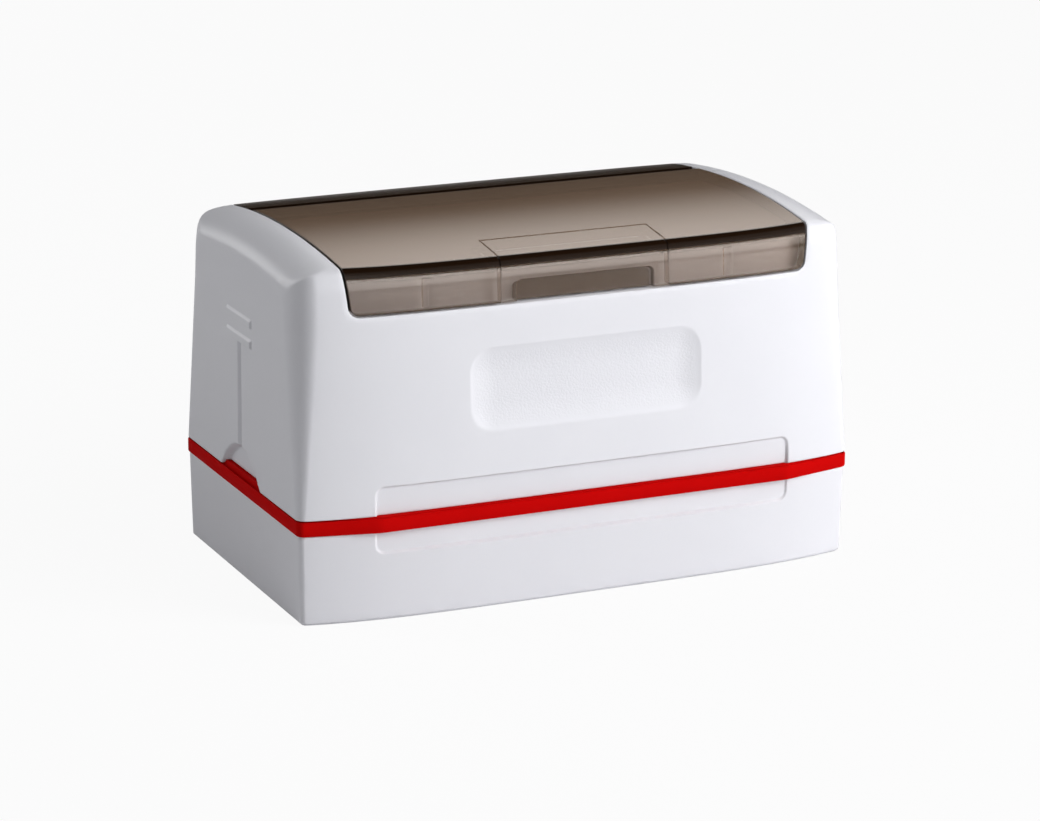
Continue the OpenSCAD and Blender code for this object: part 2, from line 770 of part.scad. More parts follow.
module die_carrier() {
    color(charcoal) difference() {
        union() {
            block(bed_hw - push_fit, bed_hd - push_fit, bed_r, pad_top, plate_top);
            for (x = ENDS, y = ENDS) translate([x * screw_x, y * screw_y, pad_top])
                cylinder(h = boss_top - pad_top, r = boss_r);
            for (x = ENDS) translate([x * ink_x, 0, pad_top])
                cylinder(h = plate_t + socket_h, r = tube_r + socket_wall);
        }
        for (x = ENDS, y = ENDS) translate([x * screw_x, y * screw_y, pad_top - cut]) {
            cylinder(h = cut + head_h + push_fit, r = head_r + push_fit);
            cylinder(h = body_h, r = screw_r + push_fit);
        }
        for (x = ENDS) translate([x * ink_x, 0, 0]) {
            translate([0, 0, pad_top - cut]) cylinder(h = plate_t + 2 * cut, r = tube_bore);
            translate([0, 0, plate_top]) cylinder(h = socket_h + cut, r = tube_r + push_fit);
        }
    }
}

module carrier_screws() {
    color(steel) for (x = ENDS, y = ENDS)
        translate([x * screw_x, y * screw_y, pad_top + push_fit]) difference() {
            union() {
                cylinder(h = head_h, r = head_r);
                cylinder(h = plate_t + boss_h + screw_bite - push_fit, r = screw_r);
            }
            for (turn = [0, 90]) rotate(turn) translate([-slot_half, -slot_w / 2, -cut])
                cube([2 * slot_half, slot_w, cut + head_h / 2]);
        }
}

module ink_pad() {
    color("darkred") block(bed_hw - push_fit, bed_hd - push_fit, bed_r, die_top, pad_top);
}

module stamp_die() {
    color("dimgray") {
        block(bed_hw - lip_w - push_fit, bed_hd - lip_w - push_fit, bed_r / 2, die_z, lip_z + lip_t);
        block(bed_hw - push_fit, bed_hd - push_fit, bed_r, lip_z + lip_t, die_top);
    }
}

module die_frame() {
    color(charcoal) difference() {
        block(frame_hw, frame_hd, bed_r + frame_wall, lip_z, plate_top);
        block(bed_hw - lip_w, bed_hd - lip_w, bed_r / 2, lip_z - cut, plate_top);
        block(bed_hw, bed_hd, bed_r, lip_z + lip_t, plate_top + cut);
    }
}

module skirt() {
    color(charcoal) {
        difference() {
            union() {
                block(skirt_hw, skirt_hd, ring_r, skirt_z, flange_top);
                block(flange_hw, flange_hd, flange_r, stop_z, flange_top);
            }
            block(skirt_hw - skirt_wall, skirt_hd - skirt_wall, ring_r - skirt_wall / 2,
                skirt_z - cut, flange_top + cut);
        }
        for (x = ENDS, y = ENDS) {
            intersection() {
                block(skirt_hw, skirt_hd, ring_r, stop_z, flange_top);
                translate([x > 0 ? spring_x - lug_w / 2 : -hw, y > 0 ? spring_y - lug_w / 2 : -hd, stop_z])
                    cube([lug_w / 2 + hw - spring_x, hd - spring_y + lug_w / 2, flange_t]);
            }
            translate([x * spring_x, y * spring_y, stop_z])
                cylinder(h = flange_t + socket_h, r = spigot_r);
        }
    }
}

// One return spring: a round wire carried along a helix, cut square at both ends
module return_spring(x, y) {
    rings = spring_turns * wire_rings;
    rise = spring_len - 2 * wire_r;
    color(steel) translate([x * spring_x, y * spring_y, flange_top + wire_r])
        loft([for (i = [0 : rings]) let (a = 360 * i / wire_rings)
            [for (k = [0 : wire_sides - 1]) let (t = 360 * k / wire_sides)
                [(spring_mean + wire_r * cos(t)) * cos(a), (spring_mean + wire_r * cos(t)) * sin(a),
                    rise * i / rings + wire_r * sin(t)]]]);
}

echo(least_gap_between_spring_turns = (spring_len - 2 * wire_r) / spring_turns - 2 * wire_r);

dust_cap();
guide_frame();
housing();
rear_cover();
lid();
lid_latch();
for (side = SIDES) {
    lid_hinge_pin(side[1]);
    latch_pin(side[1]);
    ink_plug(side[1]);
    ink_tube(side[1]);
}
label_card();
die_carrier();
carrier_screws();
ink_pad();
stamp_die();
die_frame();
skirt();
for (spring = SPRINGS)
    return_spring(spring[1], spring[2]);
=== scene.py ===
"""Pre-inked hand stamp in its dust cap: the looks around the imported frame.

Lengths are in millimetres until a mesh is made. X runs along the width, -Y is the front and Z is up.
The moulded skins are grids: columns run across the width and round the corners, rows run up the front,
round the bend, over the crown and down the back.
"""

import json
import math

import bmesh
import bpy
import numpy as np
from mathutils import Matrix, Vector


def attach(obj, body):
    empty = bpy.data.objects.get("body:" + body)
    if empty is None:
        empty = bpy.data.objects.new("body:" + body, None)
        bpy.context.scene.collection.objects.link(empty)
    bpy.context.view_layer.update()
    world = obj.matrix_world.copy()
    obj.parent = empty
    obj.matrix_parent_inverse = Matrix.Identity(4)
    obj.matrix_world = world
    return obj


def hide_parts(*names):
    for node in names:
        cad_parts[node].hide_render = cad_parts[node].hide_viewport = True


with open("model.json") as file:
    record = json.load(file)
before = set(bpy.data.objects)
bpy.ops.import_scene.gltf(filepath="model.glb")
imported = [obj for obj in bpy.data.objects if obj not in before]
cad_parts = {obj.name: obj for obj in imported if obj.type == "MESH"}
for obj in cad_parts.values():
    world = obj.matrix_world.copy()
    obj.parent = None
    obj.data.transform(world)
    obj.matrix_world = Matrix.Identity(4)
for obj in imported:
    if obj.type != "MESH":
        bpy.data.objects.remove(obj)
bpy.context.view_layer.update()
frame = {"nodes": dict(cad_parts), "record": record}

MM = 0.001

# Body form
HALF_W, HALF_D, TOP_Z = 50.0, 29.6, 60.0
CAP_Z, RIM_Z = 15.2, 17.8
BOW, BOW_POWER = 3.1, 4.4
FRONT_LEAN, END_LEAN = math.tan(math.radians(3.5)), math.tan(math.radians(0.5))
ARCH_R, BEND_R, BEND_LEAST_R = 170.0, 1.5, 0.5
EASE_LOW, EASE_HIGH, EASE_LEAN = 54.2, 56.6, math.tan(math.radians(17))
CORNER_LOW, CORNER_SLIM, CORNER_WIDE, CORNER_DEEP = 1.3, 4.0, 7.2, 4.6
CORNER_TOP, CORNER_EASE = 48.375, 0.1
END_DROP = 4.6
EDGE = 0.25

# Lid, its opening and its hinge
SEAM_X, SEAM_TAPER, SEAM_R, LID_GAP = 41.8, 1.1, 1.6, 0.3
FLAP_Z, LID_T, LID_ROUND, FLAP_IN, DECK_IN, REAR_GAP = 50.7, 2.0, 0.12, 2.4, 2.7, 0.1
HINGE_Y, HINGE_Z, KNUCKLE_R, REAR_Y = 14.8, 57.77453, 1.5, 16.83
PIN_BORE_R, PIN_INNER_X, KNUCKLE_X = 0.81, 38.0, 41.35
TAB_HALF, TAB_GAP, TAB_Y, TAB_BACK_GAP = 14.95, 0.12, 18.65, 0.3
CATCH_HALF, CATCH_H, CATCH_BELOW, CATCH_DEPTH, CATCH_R, CATCH_EASE = 12.2, 3.4, 4.0, 0.9, 1.0, 0.4
RIB_X, RIB_HALF, RIB_DEPTH, RIB_TOP, RIB_EASE, RIB_TOP_EASE = 27.0, 0.8, 0.4, 55.35, 0.25, 0.5

# Shares of painted darkness in the smoked plastic, which make it near-black and solid: a painted dark band above
# a height at the bend, painted shade on the rear strip, a painted shadow at its foot, and painted shade in the
# catch, darkest on its rim
DARK_BAND_Z, DARK_BAND_EASE, REAR_PAINTED_SHADE, REAR_FOOT_PAINTED_SHADOW, CATCH_PAINTED_SHADE, CATCH_RIM_PAINTED_SHADE = 56.55, 0.15, 0.75, 0.8, 0.55, 1.4

# Grip recess, plaque, lip of the band, and notch and marks on the end walls
GRIP_HALF, GRIP_LOW, GRIP_HIGH, GRIP_DEPTH, GRIP_R, GRIP_EASE = 37.3, 11.5, 22.5, 1.0, 1.4, 0.45
PLAQUE_HALF_W, PLAQUE_HALF_H, PLAQUE_Z, PLAQUE_R = 20.8, 6.9, 36.76, 4.2
PLAQUE_DEPTH, PLAQUE_EASE, GRAIN_IN, GRAIN_EASE = 0.8, 5.0, 1.0, 1.6
LIP_HALF, LIP_EASE = 36.9, 0.8
NOTCH_HALF, NOTCH_H, NOTCH_BACK, NOTCH_GAP, NOTCH_FADE = 9.3, 0.9, 0.6, 0.1, 3.0
SCOOP_R, SCOOP_Z, SCOOP_DEPTH, SCOOP_EASE = 8.6, 14.5, 1.1, 0.8
GROOVE_FRONT, GROOVE_BACK, GROOVE_LINE, GROOVE_DEPTH = 0.8, 0.9, 0.1, 0.9
GROOVE_LOW, GROOVE_TOP, GROOVE_EASE = RIM_Z + 2, 41.1, 0.2
MARK_HALF, MARK_H, MARK_Z, MARK_PROUD = 5.7, 1.6, (41.1, 44.5), 0.295
MARK_SLOPE, MARK_FOOT, MARK_END = 0.38, 0.12, 0.25
END_MARGIN, END_ARCH_Z = 1.0, 46.0

# Hollow of the housing, with its screw bosses, spring seats and ink sockets
WALL, HOLLOW_X, HOLLOW_Y, LEDGE_Z, CEILING_Z = 2.0, 46.2, 21.2, 47.4, 53.77
HOLLOW_DRAFT, HOLLOW_KNEE_Z, POST_ROOT_Z = 0.5, RIM_Z + 14, CEILING_Z + 0.6
SCREW_X, SCREW_Y, BOSS_Z, BOSS_R, BOSS_BORE_R, BOSS_BORE_Z = 29.0, 11.0, 21.9, 4.0, 1.35, 32.0
SPRING_X, SPRING_Y, SEAT_Z, SEAT_R, SPIGOT_Z, SPIGOT_R = 39.5, 15.5, 45.6, 3.3, 42.6, 2.0
SOCKET_X, SOCKET_Z, SOCKET_R, SOCKET_BORE_R = 12.0, 50.8, 4.2, 3.1

# Dust cap as (height, inset) rows: chamfered foot, rim outside, and from the top of the rim in to the floor
CAP_FOOT = [(0, 1.05), (0.08, 0.92), (0.42, 0.58), (0.6, 0.545)]
CAP_RIM = [(CAP_Z - 0.1, 0.35), (CAP_Z, 0.6)]
CAP_INSIDE = [(CAP_Z, 2.1), (CAP_Z - 0.2, 2.35), (2.6, 2.35), (2.1, 2.5), (1.8, 3.0)]
CAP_INSET, CAP_TAPER, CAP_RIM_INSET, CAP_RIM_Z = 0.55, 0.3, 0.25, 14.0

# Guide frame: half sizes of its plans, its lowest and highest levels, and the band as (inset, height) rows
OPENING, COLLAR, UPSTAND, RING_R = (45.75, 22.25), (47.4, 23.9), (47.75, 23.92), 3.0
COLLAR_Z, UPSTAND_Z, END_FACE_X, TONGUE_LEAN = CAP_Z - 6, RIM_Z + 6.2, 49.9, 0.05
BAND = [(0.4, CAP_Z), (0.1, CAP_Z + 0.05), (0, CAP_Z + 0.25), (0, RIM_Z - 0.35), (0.1, RIM_Z - 0.18),
        (0.25, RIM_Z - 0.2), (0.4, RIM_Z - 0.8), (NOTCH_BACK - 0.1, RIM_Z - 0.8), (NOTCH_BACK, RIM_Z)]

# Columns under the lid stay upright up to FIXED_X, and rows on the crown stay level up to FIXED_Y, which
# comes in by FIXED_FALL for each unit past the seam
CORNER_SHARE = 1 - math.sqrt(0.5)
LID_COLUMN = SEAM_X - SEAM_TAPER - SEAM_R * CORNER_SHARE
FIXED_X, FIXED_Y, FIXED_FALL, ROW_REACH = 30.0, 20.0, 4.0, 24.0

# Mesh making: merge distance, angles that stay sharp and that get a bevel, and sides of a turned shape
MERGE, SHARP_ANGLE, BEVEL_ANGLE, TURN_STEPS = 0.001, math.radians(40), math.radians(50), 32
MIRROR_X, MIRROR_Y = np.array([-1, 1, 1]), np.array([1, -1, 1])


def lines(*spans):
    """Places along a line: each span (start, end, step) is cut into equal steps of about that size."""
    parts = [np.linspace(a, b, max(1, round(abs(b - a) / step)) + 1) for a, b, step in spans]
    return np.concatenate([parts[0]] + [part[1:] for part in parts[1:]])


def mirrored(right):
    """Places on both sides of the middle, from those on the right, of which the first is 0."""
    return np.concatenate([-right[:0:-1], right])


def ramp(inside, width):
    """Smooth step across an edge: 3t^2 - 2t^3, where t runs from 0 to 1 over the given width."""
    t = np.clip(0.5 + inside / width, 0, 1)
    return t * t * (3 - 2 * t)


def inside_box(u, v, half_u, half_v, r):
    """Distance inside a rectangle with round corners: r less the distance from the inner rectangle."""
    a, b = np.abs(u) - half_u + r, np.abs(v) - half_v + r
    return r - np.hypot(np.maximum(a, 0), np.maximum(b, 0)) - np.minimum(np.maximum(a, b), 0)


def wall_y(z):
    """Half depth of the body at height z: the walls lean in on a straight line."""
    return HALF_D - (z - RIM_Z) * FRONT_LEAN


def wall_ease(c, z):
    """How far the top of the wall leans in before the bend: a parabola between two heights, then the line
    that it ends in. Both heights come down with the corner."""
    span, z = EASE_HIGH - EASE_LOW, z + END_DROP * turn(c)
    rise = np.clip(z - EASE_LOW, 0, span)
    return (EASE_LEAN - FRONT_LEAN) * (rise**2 / (2 * span) + np.maximum(z - EASE_HIGH, 0))


def end_x(z):
    """Half width of the body at height z: the ends lean in on a straight line."""
    return HALF_W - (z - RIM_Z) * END_LEAN


def bow(x):
    """How far the front falls away at x: a power of the share of the half width."""
    return BOW * np.minimum(1, np.abs(x) / HALF_W) ** BOW_POWER


def corner_share(z):
    """Growth of the upright corner from the rim to CORNER_TOP: a line that a parabola eases into 1."""
    u, k = (z - RIM_Z) / (CORNER_TOP - RIM_Z), CORNER_EASE
    eased = 1 - (1 + k - u) ** 2 / (4 * k)
    return np.where(u < 1 - k, np.maximum(u, 0), np.where(u < 1 + k, eased, 1))


def corner_width(z, spread):
    """Width of the corner at height z: slim on the walls, where spread is 0, and wide on the crown, at 1."""
    full = CORNER_SLIM + (CORNER_WIDE - CORNER_SLIM) * spread
    return CORNER_LOW + (full - CORNER_LOW) * corner_share(z)


def corner_depth(z):
    """Depth of the upright corner at height z."""
    return CORNER_LOW + (CORNER_DEEP - CORNER_LOW) * corner_share(z)


def turn(c):
    """How far column c has gone round the corner: 1 less the cosine of its angle, from 0 to 1."""
    return 1 - np.cos(np.clip(np.abs(c) - 2, 0, 1) * math.pi / 2)


def seam_edge(z, grow):
    """Half width of the lid at height z, widened by grow: a corner arc, then a line that opens upwards."""
    low, r, foot = SEAM_X - SEAM_TAPER + grow, SEAM_R + grow, FLAP_Z - grow
    z = np.maximum(z, foot + r * CORNER_SHARE)
    arc = low - r + np.sqrt(r * r - np.clip(foot + r - z, 0, r) ** 2)
    return np.where(z < foot + r, arc, low + SEAM_TAPER * (z - foot - r) / (TOP_Z + 1 - foot - r))


def flap_foot(c, grow):
    """Height of the flap's foot in column c, widened by grow: level, then up the corner arc to its middle."""
    low, r, foot = SEAM_X - SEAM_TAPER + grow, SEAM_R + grow, FLAP_Z - grow
    x = np.abs(across(c, np.full_like(c, foot), grow))
    over = np.where(np.abs(c) > 1, r * math.sqrt(0.5), np.clip(x - low + r, 0, r * math.sqrt(0.5)))
    return foot + r - np.sqrt(r * r - over**2)


def across(c, z, grow, spread=0.0):
    """Place across the width of column c at height z. From 0 to 1 a column lies under the lid and is
    drawn out to the seam; from 1 to 2 it lies between seam and corner; from 2 to 3 it turns the corner."""
    width = corner_width(z, spread)
    a, seam, flat = np.abs(c), seam_edge(z, grow), end_x(z) - width
    nominal = a * LID_COLUMN
    drawn = FIXED_X + (nominal - FIXED_X) * (seam - FIXED_X) / (LID_COLUMN - FIXED_X)
    under = np.where(nominal < FIXED_X, nominal, drawn)
    corner = flat + width * np.sin(np.clip(a - 2, 0, 1) * math.pi / 2)
    return np.sign(c) * np.where(a <= 1, under, np.where(a <= 2, seam + (flat - seam) * (a - 1), corner))


def bend_circle(c, grow, wall_in, top_in):
    """Centre, radius and end angles of the bend in column c: the circle that touches the line at the top of
    the wall and, from inside, the arch circle. Also the crown's height and the height where the bend starts."""
    e, n, gain = turn(c), math.hypot(1, EASE_LEAN), EASE_LEAN - FRONT_LEAN
    r = max(BEND_LEAST_R, BEND_R - wall_in / 2) + BEND_R * e
    top = TOP_Z - top_in - END_DROP * e
    start = np.full_like(c, FLAP_Z)
    for _ in range(3):
        shift = wall_in + CORNER_DEEP * e + bow(across(c, start, grow))
        k = shift - HALF_D - RIM_Z * FRONT_LEAN + r * n
        k = k + gain * (END_DROP * e - (EASE_LOW + EASE_HIGH) / 2)
        low = top - ARCH_R
        b = k * EASE_LEAN - low
        root = b * b - n * n * (k * k + low * low - (ARCH_R - r) ** 2)
        z = (np.sqrt(root) - b) / (n * n)
        y = k + EASE_LEAN * z
        first = math.pi - math.atan(EASE_LEAN)
        start = z + r * math.sin(first)
    return y, z, r, first, np.arctan2(z - low, y), top, start


def wall_rows(c, z, grow, wall_in):
    """Points of the front wall in columns c at heights z: the leaning wall, less the bow and the corner."""
    x = across(c, z, grow)
    y = wall_in + corner_depth(z) * turn(c) + bow(x) + wall_ease(c, z) - wall_y(z)
    return np.stack([x, y, z], axis=-1)


def level_rows(nominal, reach, c):
    """Depth of the crown's rows: level in the middle, then drawn in to where the bend ends."""
    fixed = FIXED_Y - FIXED_FALL * np.clip(np.abs(c) - 1, 0, 2)
    a = np.abs(nominal)
    drawn = fixed + (a - fixed) * (reach - fixed) / (ROW_REACH - fixed)
    return np.sign(nominal) * np.where(a < fixed, a, drawn)


def front_skin(c, flap, bend, grow, wall_in=0.0, top_in=0.0):
    """The skin from the flap's foot to the end of the bend: rows up the wall, then round the bend's arc."""
    y, z, r, first, last, _, start = bend_circle(c, grow, wall_in, top_in)
    foot = flap_foot(c, grow)
    wall = wall_rows(c, foot + (start - foot) * flap[:, None], grow, wall_in)
    angle = first + (last - first) * bend[:, None]
    bend_z = z + r * np.sin(angle)
    bend_x = across(c, bend_z, grow, ramp(bend[:, None] - 0.5, 1.0))
    return np.concatenate([wall, np.stack([bend_x, y + r * np.cos(angle), bend_z], axis=-1)])


def crown_skin(c, levels, grow, wall_in=0.0, top_in=0.0):
    """The crown between the two bends: z on the arch circle at each row's depth."""
    y, z, r, _, last, top, _ = bend_circle(c, grow, wall_in, top_in)
    depth = level_rows(levels[:, None], -(y + r * np.cos(last)), c)
    height = top - ARCH_R + np.sqrt(ARCH_R**2 - depth**2)
    return np.stack([across(c, height, grow, 1.0), depth, height], axis=-1)


def back_of(rows):
    """The same rows at the back, in the order in which they follow the front ones."""
    return rows[::-1] * MIRROR_Y


def grid(points, keep=None, loop=False):
    """Quads of a grid of points; keep picks cells, and loop joins the last column to the first."""
    rows, cols = points.shape[:2]
    index = np.arange(rows * cols).reshape(rows, cols)
    if loop:
        index = np.concatenate([index, index[:, :1]], axis=1)
    quads = np.stack([index[:-1, :-1], index[:-1, 1:], index[1:, 1:], index[1:, :-1]], axis=-1)
    return points.reshape(-1, 3), (quads if keep is None else quads[keep]).reshape(-1, 4)


def sheet_between(outer, inner, keep=None):
    """A closed sheet between two grids of one shape: both faces, and a wall along every open edge. Also
    gives 1 for each face of those walls and 0 for the rest."""
    top, quads = grid(outer, keep)
    n = len(top)
    edges = np.stack([quads, np.roll(quads, -1, axis=1)], axis=-1).reshape(-1, 2)
    _, first, count = np.unique(edges.min(1) * n + edges.max(1), return_index=True, return_counts=True)
    rim = edges[first[count == 1]]
    walls = np.column_stack([rim[:, 1], rim[:, 0], rim[:, 0] + n, rim[:, 1] + n])
    edge = np.repeat([0, 0, 1], [len(quads), len(quads), len(walls)])
    return (np.vstack([top, inner.reshape(-1, 3)]), np.vstack([quads, quads[:, ::-1] + n, walls])), edge


def turned(profile, axis, place):
    """A turned shape: a closed profile of (along, radius) pairs carried round an axis through place."""
    along, radius = np.array(profile, float).T
    angle = np.arange(TURN_STEPS) * 2 * math.pi / TURN_STEPS
    points = np.zeros((len(along), TURN_STEPS, 3))
    points[..., axis] = along[:, None]
    points[..., (axis + 1) % 3] = radius[:, None] * np.cos(angle)
    points[..., (axis + 2) % 3] = radius[:, None] * np.sin(angle)
    return grid(np.concatenate([points, points[:1]]) + np.array(place, float), loop=True)


def piece(name, blocks, body, slot, bevel=0.0, marks=None, caps=()):
    """Joins blocks of points and quads into one closed mesh that stands for the CAD node of that name:
    points closer than MERGE are merged, and faces turned outwards. marks holds an attribute's value for each
    point or face, and caps lists flat end loops."""
    offsets = np.cumsum([0] + [len(points) for points, _ in blocks])
    points = np.concatenate([points for points, _ in blocks])
    quads = np.concatenate([quads + first for (_, quads), first in zip(blocks, offsets)])
    mesh = bpy.data.meshes.new(name)
    mesh.from_pydata(points * MM, [], quads.tolist() + [list(cap) for cap in caps])
    for key, values in (marks or {}).items():
        domain = "POINT" if len(values) == len(points) else "FACE"
        mesh.attributes.new(key, "FLOAT", domain).data.foreach_set("value", values.astype(np.float32))
    edit = bmesh.new()
    edit.from_mesh(mesh)
    bmesh.ops.delete(edit, geom=[v for v in edit.verts if not v.link_faces], context="VERTS")
    bmesh.ops.remove_doubles(edit, verts=edit.verts, dist=MERGE * MM)
    bmesh.ops.recalc_face_normals(edit, faces=edit.faces)
    edit.to_mesh(mesh)
    edit.free()
    mesh.shade_smooth()
    mesh.set_sharp_from_angle(angle=SHARP_ANGLE)
    made = bpy.data.objects.new("shown_" + name, mesh)
    bpy.context.scene.collection.objects.link(made)
    if bevel:
        cut = made.modifiers.new("edges", "BEVEL")
        cut.width, cut.segments, cut.angle_limit = bevel * MM, 2, BEVEL_ANGLE
        cut.harden_normals = True
    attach(made, body)
    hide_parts(name)
    mesh.materials.append(FINISHES[slot])


# Finishes


class Wire:
    """One socket of a finish: sums, differences and products of it add Math nodes."""

    def __init__(self, tree, socket=None):
        self.tree, self.socket = tree, socket

    def node(self, kind, settings, sockets, output=0):
        """Adds a node of a type, sets its settings, then fills its sockets with values or wires."""
        made = self.tree.nodes.new("ShaderNode" + kind)
        for key, value in settings.items():
            setattr(made, key, value)
        for key, value in sockets.items():
            if isinstance(value, Wire):
                self.tree.links.new(value.socket, made.inputs[key])
            else:
                made.inputs[key].default_value = value
        return Wire(self.tree, made.outputs[output] if made.outputs else None)

    def math(self, operation, a, b):
        """Adds a Math node for an operation on two values or wires."""
        return self.node("Math", {"operation": operation}, {0: a, 1: b})

    def __add__(self, other):
        return self.math("ADD", self, other)

    def __radd__(self, other):
        return self.math("ADD", other, self)

    def __sub__(self, other):
        return self.math("SUBTRACT", self, other)

    def __rsub__(self, other):
        return self.math("SUBTRACT", other, self)

    def __mul__(self, other):
        return self.math("MULTIPLY", self, other)

    def __rmul__(self, other):
        return self.math("MULTIPLY", other, self)


def new_tree(owner):
    """Empties the node tree of a material or world and returns a wire to build it with."""
    owner.use_nodes = True
    owner.node_tree.nodes.clear()
    return Wire(owner.node_tree)


def noise(wire, scale, detail=2.0):
    """Even noise from 0 to 1 on Object coordinates, in features per metre."""
    place = wire.node("TexCoord", {}, {}, "Object")
    return wire.node("TexNoise", {}, {"Vector": place, "Scale": scale, "Detail": detail})


def mix(wire, share, a, b):
    """A colour between a and b."""
    return wire.node("Mix", {"data_type": "RGBA"}, {0: share, 6: a, 7: b}, 2)


def bump(wire, height, strength, depth):
    """A normal bent by a height, given with its depth in millimetres."""
    return wire.node("Bump", {}, {"Height": height, "Strength": strength, "Distance": depth * MM})


def finish(name, build):
    """A material whose Principled sockets come from build: constants on sockets, and wires where it varies.
    Where build gives a clear share, that share of the light passes through, tinted, under a polished face."""
    made = bpy.data.materials.new(name)
    wire = new_tree(made)
    sockets = build(wire)
    clear, tint, polish = (sockets.pop(key, None) for key in ("clear", "tint", "polish"))
    shader = wire.node("BsdfPrincipled", {}, sockets)
    if clear:
        film = wire.node("BsdfTransparent", {}, {"Color": tint})
        shader = wire.node("MixShader", {}, {0: clear, 1: shader, 2: film})
        warm = {"Base Color": rgb(1.0, 0.93, 0.87), "Metallic": 1.0, "Roughness": sockets["Roughness"]}
        mirror = wire.node("BsdfPrincipled", {}, warm)
        shader = wire.node("MixShader", {}, {0: polish, 1: shader, 2: mirror})
    wire.node("OutputMaterial", {}, {"Surface": shader})
    return made


def rgb(r, g, b):
    """A colour in linear light, with full alpha."""
    return (r, g, b, 1.0)


def white_plastic(wire):
    """Satin moulded white with a cool cast, a slight mottle, and a grainy floor in the plaque."""
    mottle, fine = noise(wire, 70.0), noise(wire, 2600.0)
    grain = wire.node("Attribute", {"attribute_name": "plaque"}, {}, "Fac")
    coarse = noise(wire, 3000.0, 3.0)
    height = fine * 0.05 + coarse * grain
    return {
        "Base Color": mix(wire, mottle, rgb(0.755, 0.757, 0.80), rgb(0.785, 0.787, 0.825)),
        "Roughness": 0.29 + mottle * 0.06 + grain * 0.1,
        "Specular IOR Level": 0.35,
        "Normal": bump(wire, height, 0.7, 0.1),
    }


def red_plastic(wire):
    """Glossy moulded red, a little darker in patches."""
    mottle, fine = noise(wire, 90.0), noise(wire, 1800.0)
    return {
        "Base Color": mix(wire, mottle, rgb(0.50, 0.002, 0.002), rgb(0.58, 0.003, 0.003)),
        "Roughness": 0.4 + mottle * 0.08,
        "Specular IOR Level": 0.005,
        "Normal": bump(wire, fine, 0.25, 0.03),
    }


def smoked_plastic(wire):
    """Polished see-through brown, denser at a glance and clear on the walls of its slits. An attribute makes it
    near-black
    and solid: a painted dark band at the bend, painted shadow and shade at the feet and in the catch, and thick
    parts such as the knuckle. Only its outer side mirrors, by Fresnel's share."""
    mottle = noise(wire, 45.0)
    thick_and_painted_shade = wire.node("Attribute", {"attribute_name": "thick_and_painted_shade"}, {}, "Fac")
    glance = wire.node("LayerWeight", {}, {"Blend": 0.5}, "Facing")
    edge = wire.node("Attribute", {"attribute_name": "edge"}, {}, "Fac")
    clear = (1 - thick_and_painted_shade) * wire.math("MAXIMUM", 0.88 - 0.88 * glance, 0.8 * edge)
    outside = 1 - wire.node("NewGeometry", {}, {}, "Backfacing")
    brown = mix(wire, mottle, rgb(0.213, 0.140, 0.092), rgb(0.238, 0.156, 0.103))
    return {
        # Painted shade: the base colour goes near-black where the attribute is full
        "Base Color": mix(wire, thick_and_painted_shade, brown, rgb(0.012, 0.005, 0.002)),
        "Roughness": 0.09 + mottle * 0.03,
        "Specular IOR Level": 0.0,
        "polish": outside * wire.node("Fresnel", {}, {"IOR": 1.5}),
        "clear": clear,
        "tint": rgb(1.0, 0.97, 0.945),
    }


def charcoal_plastic(wire):
    """Dark spark-eroded plastic with a fine even grain."""
    fine, mottle = noise(wire, 1700.0, 3.0), noise(wire, 120.0)
    return {
        "Base Color": mix(wire, mottle, rgb(0.030, 0.030, 0.034), rgb(0.048, 0.048, 0.052)),
        "Roughness": 0.5 + fine * 0.18,
        "Normal": bump(wire, fine, 0.4, 0.08),
    }


def tube_plastic(wire):
    """Milky soft tube."""
    mottle = noise(wire, 150.0)
    return {
        "Base Color": mix(wire, mottle, rgb(0.70, 0.70, 0.67), rgb(0.78, 0.78, 0.76)),
        "Roughness": 0.4 + mottle * 0.15,
    }


def card(wire):
    """Uncoated card with short fibres."""
    fibre, mottle = noise(wire, 1400.0, 6.0), noise(wire, 100.0)
    return {
        "Base Color": mix(wire, mottle * 0.6 + fibre * 0.4, rgb(0.74, 0.72, 0.67), rgb(0.83, 0.81, 0.76)),
        "Roughness": 0.8 + fibre * 0.12,
        "Normal": bump(wire, fibre, 0.3, 0.03),
    }


def steel(wire):
    """Drawn steel wire with fine streaks."""
    streak = noise(wire, 2400.0, 3.0)
    return {
        "Base Color": mix(wire, streak, rgb(0.54, 0.55, 0.57), rgb(0.66, 0.67, 0.69)),
        "Metallic": 1.0,
        "Roughness": 0.24 + streak * 0.14,
    }


def plug_rubber(wire):
    """Matte dark rubber."""
    fine = noise(wire, 1200.0, 4.0)
    return {
        "Base Color": mix(wire, fine, rgb(0.035, 0.035, 0.038), rgb(0.055, 0.055, 0.06)),
        "Roughness": 0.65 + fine * 0.2,
        "Normal": bump(wire, fine, 0.3, 0.05),
    }


def die_rubber(wire):
    """Microporous die, damp with ink."""
    pore, damp = noise(wire, 3200.0, 3.0), noise(wire, 60.0)
    return {
        "Base Color": mix(wire, damp, rgb(0.10, 0.022, 0.022), rgb(0.15, 0.035, 0.033)),
        "Roughness": 0.45 + pore * 0.25,
        "Normal": bump(wire, pore, 0.5, 0.06),
    }


def ink_foam(wire):
    """Open foam soaked with ink."""
    cell, damp = noise(wire, 1000.0, 3.0), noise(wire, 80.0)
    return {
        "Base Color": mix(wire, damp, rgb(0.22, 0.01, 0.012), rgb(0.34, 0.018, 0.02)),
        "Roughness": 0.55 + cell * 0.3,
        "Normal": bump(wire, cell, 0.8, 0.25),
    }


FINISHES = {
    build.__name__: finish(build.__name__, build)
    for build in (white_plastic, red_plastic, smoked_plastic, charcoal_plastic, tube_plastic, card, steel,
                  plug_rubber, die_rubber, ink_foam)
}


# Housing

